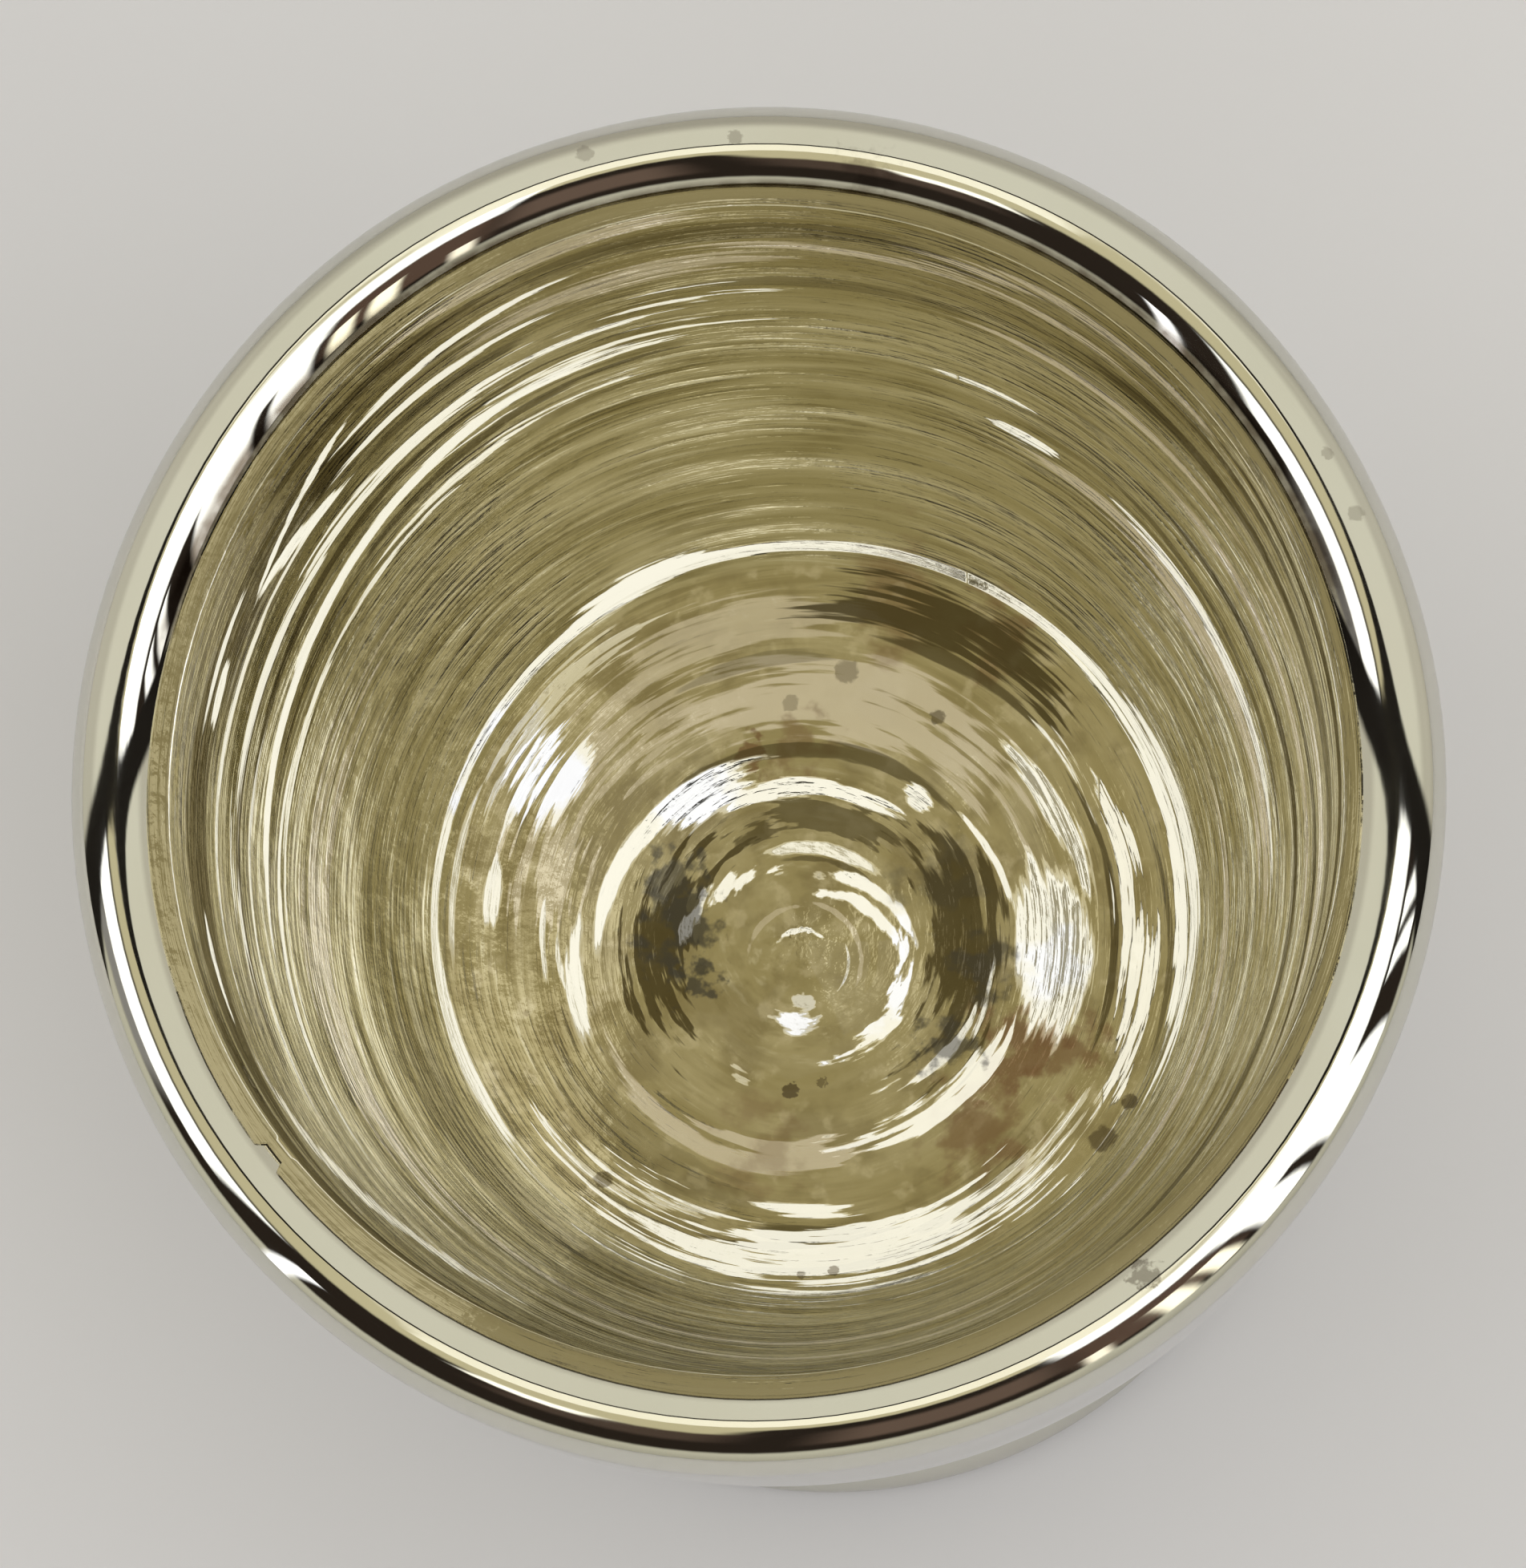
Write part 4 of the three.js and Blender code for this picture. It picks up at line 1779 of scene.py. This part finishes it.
@dataclass
class Studio:
    """Floor, surroundings, lamp and camera.

    Places of the camera are in millimetres, and those of the lamp and the floor in metres. Azimuths and
    heights are in degrees. What is called edge lies overhead: the pale far half of the room
    meets the dark near half there in a thin line, and the places on it are parts of a unit direction.
    """

    camera_place: Triple = (13.0, -42.1, 316.3)
    camera_aim: Triple = (0.44, -0.31, 79.0)
    focal_pixels: float = 7476.0
    floor_colour: Colour = linear(213, 212, 213)
    floor_half_width: float = 3.0
    lamp_place: Triple = (0.1, -0.25, 1.4)
    lamp_size: float = 1.6
    lamp_power: float = 12.0
    level: float = 1.0
    dark: Colour = (0.022, 0.016, 0.012)
    ceiling: Colour = (0.56, 0.505, 0.325)
    far_wall: Colour = (0.66, 0.64, 0.54)
    far_low: Colour = (0.50, 0.475, 0.40)
    near_low: Colour = (0.52, 0.50, 0.41)
    far_heights: Ramp = (22.0, 40.0, 0.0, 1.0)
    ceiling_heights: Ramp = (76.0, 80.0, 0.0, 1.0)
    horizon_behind: Ramp = (150.0, 225.0, 22.0, 17.0)
    horizon_right: Ramp = (100.0, 165.0, 10.0, 22.0)
    horizon_softness: float = 4.0
    edge_lean: float = 0.19
    edge_taper: float = 1.3
    edge_line: Colour = (0.014, 0.012, 0.01)
    edge_line_start: Ramp = (-0.11, -0.08, 0.0, 1.0)
    edge_line_end: Ramp = (0.045, 0.08, 0.0, 1.0)
    glow: Colour = (1.05, 1.0, 0.82)
    glow_middle: float = -0.05
    glow_widening: float = 0.6
    glow_width: Ramp = (0.11, 0.13, 1.0, 0.0)
    glow_start: Ramp = (-0.10, -0.08, 0.0, 1.0)
    patches: tuple[SkyPatch, ...] = (
        SkyPatch((188, 214), (46, 68), (0.075, 0.052, 0.04), 10.0),
        SkyPatch((152, 176), (36, 66), (0.13, 0.088, 0.068), 10.0),
        SkyPatch((128, 150), (26, 66), (0.10, 0.062, 0.046), 6.0),
        SkyPatch((190, 338), (66, 84), (0.56, 0.505, 0.325), 6.0),
        SkyPatch((255, 272), (16, 38), (0.26, 0.25, 0.24), 6.0),
        SkyPatch((247, 288), (36, 62), (1.6, 1.6, 1.6), 4.0),
        SkyPatch((206, 222), (60, 68), (1.5, 1.45, 1.3), 4.0),
        SkyPatch((20, 150), (66, 84), (1.6, 1.6, 1.6), 5.0),
        SkyPatch((70, 126), (54, 72), (1.6, 1.6, 1.6), 5.0),
        SkyPatch((87, 90.5), (20, 48), (1.6, 1.6, 1.6), 1.5),
        SkyPatch((92.5, 95.5), (18, 48), (1.6, 1.6, 1.6), 1.5),
        SkyPatch((103, 115.5), (10, 60), (1.6, 1.6, 1.6), 2.0),
        SkyPatch((119, 126), (14, 60), (1.6, 1.6, 1.6), 2.0),
        SkyPatch((129, 132.5), (18, 50), (1.6, 1.5, 1.2), 2.0),
        SkyPatch((135, 139), (16, 50), (1.6, 1.5, 1.2), 2.0),
        SkyPatch((146, 149), (5, 38), (1.3, 1.2, 1.0), 2.0),
    )
    low_patches: tuple[SkyPatch, ...] = (
        SkyPatch((232.5, 235.5), (-10, 42), (1.6, 1.6, 1.7), 1.5),
    )

    def build(self) -> None:
        """Sets up the floor, the surroundings and the camera."""
        self.build_floor()
        self.build_surroundings()
        self.build_lamp()
        self.build_camera()

    def build_floor(self) -> None:
        """Lays a plain pale floor under the foot."""
        bpy.ops.object.select_all(action="DESELECT")
        bpy.ops.mesh.primitive_plane_add(size=2 * self.floor_half_width)
        floor = bpy.context.object
        floor.name = "floor"
        material = bpy.data.materials.new("floor")
        material.use_nodes = True
        shader = material.node_tree.nodes["Principled BSDF"]
        shader.inputs["Base Color"].default_value = (*self.floor_colour, 1.0)
        shader.inputs["Roughness"].default_value = 0.9
        floor.data.materials.append(material)

    def build_surroundings(self) -> None:
        """Paints the soft light round the cup by direction: a pale far side and windows in a darker room."""
        world = bpy.data.worlds.new("surroundings")
        bpy.context.scene.world = world
        world.use_nodes = True
        wiring = Wiring(world.node_tree)
        x, y, z = wiring.split(wiring.node("ShaderNodeTexCoord").outputs["Generated"])
        around = wiring.math("ARCTAN2", wiring.times(x, -1.0), wiring.times(y, -1.0))
        azimuth = wiring.times_plus(around, DEGREES, 180.0)
        height = wiring.times(wiring.math("ARCSINE", z), DEGREES)
        colour = wiring.mix(wiring.ramp(height, *self.ceiling_heights), self.dark, self.ceiling)
        for patch in self.patches:
            colour = wiring.mix(self.patch_mask(wiring, azimuth, height, patch), colour, patch.colour)
        horizon = wiring.ramp(azimuth, *self.horizon_behind)
        horizon = wiring.math("MINIMUM", horizon, wiring.ramp(azimuth, *self.horizon_right))
        above = wiring.minus(height, horizon)
        low = wiring.ramp(above, -self.horizon_softness, self.horizon_softness, 1.0, 0.0)
        colour = wiring.mix(low, colour, self.near_low)
        for patch in self.low_patches:
            colour = wiring.mix(self.patch_mask(wiring, azimuth, height, patch), colour, patch.colour)
        off_middle = wiring.math("ABSOLUTE", wiring.plus(x, -self.glow_middle))
        in_glow = wiring.ramp(wiring.plus(off_middle, wiring.times(y, self.glow_widening)), *self.glow_width)
        in_glow = wiring.times(in_glow, wiring.ramp(y, *self.glow_start))
        colour = wiring.mix(in_glow, colour, self.glow)
        past_edge = wiring.minus(y, wiring.times(z, self.edge_lean))
        past_edge = wiring.over(past_edge, wiring.minus(self.edge_taper, z))
        colour = wiring.mix(wiring.ramp(past_edge, *self.edge_line_start), colour, self.edge_line)
        far = wiring.mix(wiring.ramp(height, *self.far_heights), self.far_low, self.far_wall)
        colour = wiring.mix(wiring.ramp(past_edge, *self.edge_line_end), colour, far)
        background = world.node_tree.nodes["Background"]
        wiring.feed(background.inputs["Color"], colour)
        background.inputs["Strength"].default_value = self.level

    @staticmethod
    def patch_mask(wiring: Wiring, azimuth: Socket, height: Socket, patch: SkyPatch) -> Socket:
        """Gives 1 inside a patch and 0 outside it.

        Args:
            wiring: The world's nodes.
            azimuth: Degrees clockwise from the far side.
            height: Degrees above the table.
            patch: The area.

        Returns:
            The mask's socket.
        """
        mask = None
        for value, (low, high) in ((azimuth, patch.azimuth), (height, patch.height)):
            rise = wiring.ramp(value, low - patch.edge / 2, low + patch.edge / 2)
            fall = wiring.ramp(value, high - patch.edge / 2, high + patch.edge / 2, 1.0, 0.0)
            both = wiring.times(rise, fall)
            mask = both if mask is None else wiring.times(mask, both)
        return mask

    def build_lamp(self) -> None:
        """Hangs a wide soft lamp over the cup, which lights dry surfaces and has no image in the silver."""
        lamp = bpy.data.lights.new("soft_lamp", "AREA")
        lamp.size = self.lamp_size
        lamp.energy = self.lamp_power
        lamp_object = bpy.data.objects.new("soft_lamp", lamp)
        place = Vector(self.lamp_place)
        lamp_object.matrix_world = Matrix.Translation(place) @ place.to_track_quat("Z", "Y").to_matrix().to_4x4()
        lamp_object.visible_glossy = False
        lamp_object.visible_transmission = False
        bpy.context.scene.collection.objects.link(lamp_object)

    def build_camera(self) -> None:
        """Places the camera above the cup, a little to the near side, with the far side up."""
        place = Vector(self.camera_place) * MM
        forward = (Vector(self.camera_aim) * MM - place).normalized()
        right = forward.cross(Vector((0, 1, 0))).normalized()
        upward = right.cross(forward)
        lens = bpy.data.cameras.new("camera")
        lens.sensor_fit = "VERTICAL"
        lens.sensor_height = 36.0
        lens.lens = self.focal_pixels * lens.sensor_height / PHOTO_HEIGHT
        lens.clip_start = 0.001
        camera = bpy.data.objects.new("camera", lens)
        camera.matrix_world = Matrix.Translation(place) @ Matrix((right, upward, -forward)).transposed().to_4x4()
        bpy.context.scene.collection.objects.link(camera)
        bpy.context.scene.camera = camera


def set_view() -> None:
    """Sets the plain view transform, and enough mirror bounces for a bowl that reflects itself."""
    scene = bpy.context.scene
    scene.view_settings.view_transform = "Standard"
    scene.cycles.max_bounces = 16
    scene.cycles.glossy_bounces = 12
    scene.cycles.transmission_bounces = 12


def main() -> None:
    """Builds the cup and its studio."""
    logging.basicConfig(level=logging.INFO, format="%(message)s")
    set_view()
    Studio().build()
    form = CupForm()
    surface = BlownSurface(form).build()
    effects = Effects()
    pieces = [
        GlassBody(surface, effects).build(),
        SilverLining(surface, effects).build(),
        GoldStain(form, surface, effects).build(),
    ]
    bpy.data.objects.remove(surface)
    pieces += BaseClosure(form, effects).build()
    for piece in pieces:
        log.info("%s: %d faces", piece.name, len(piece.data.polygons))


if __name__ == "__main__":
    main()
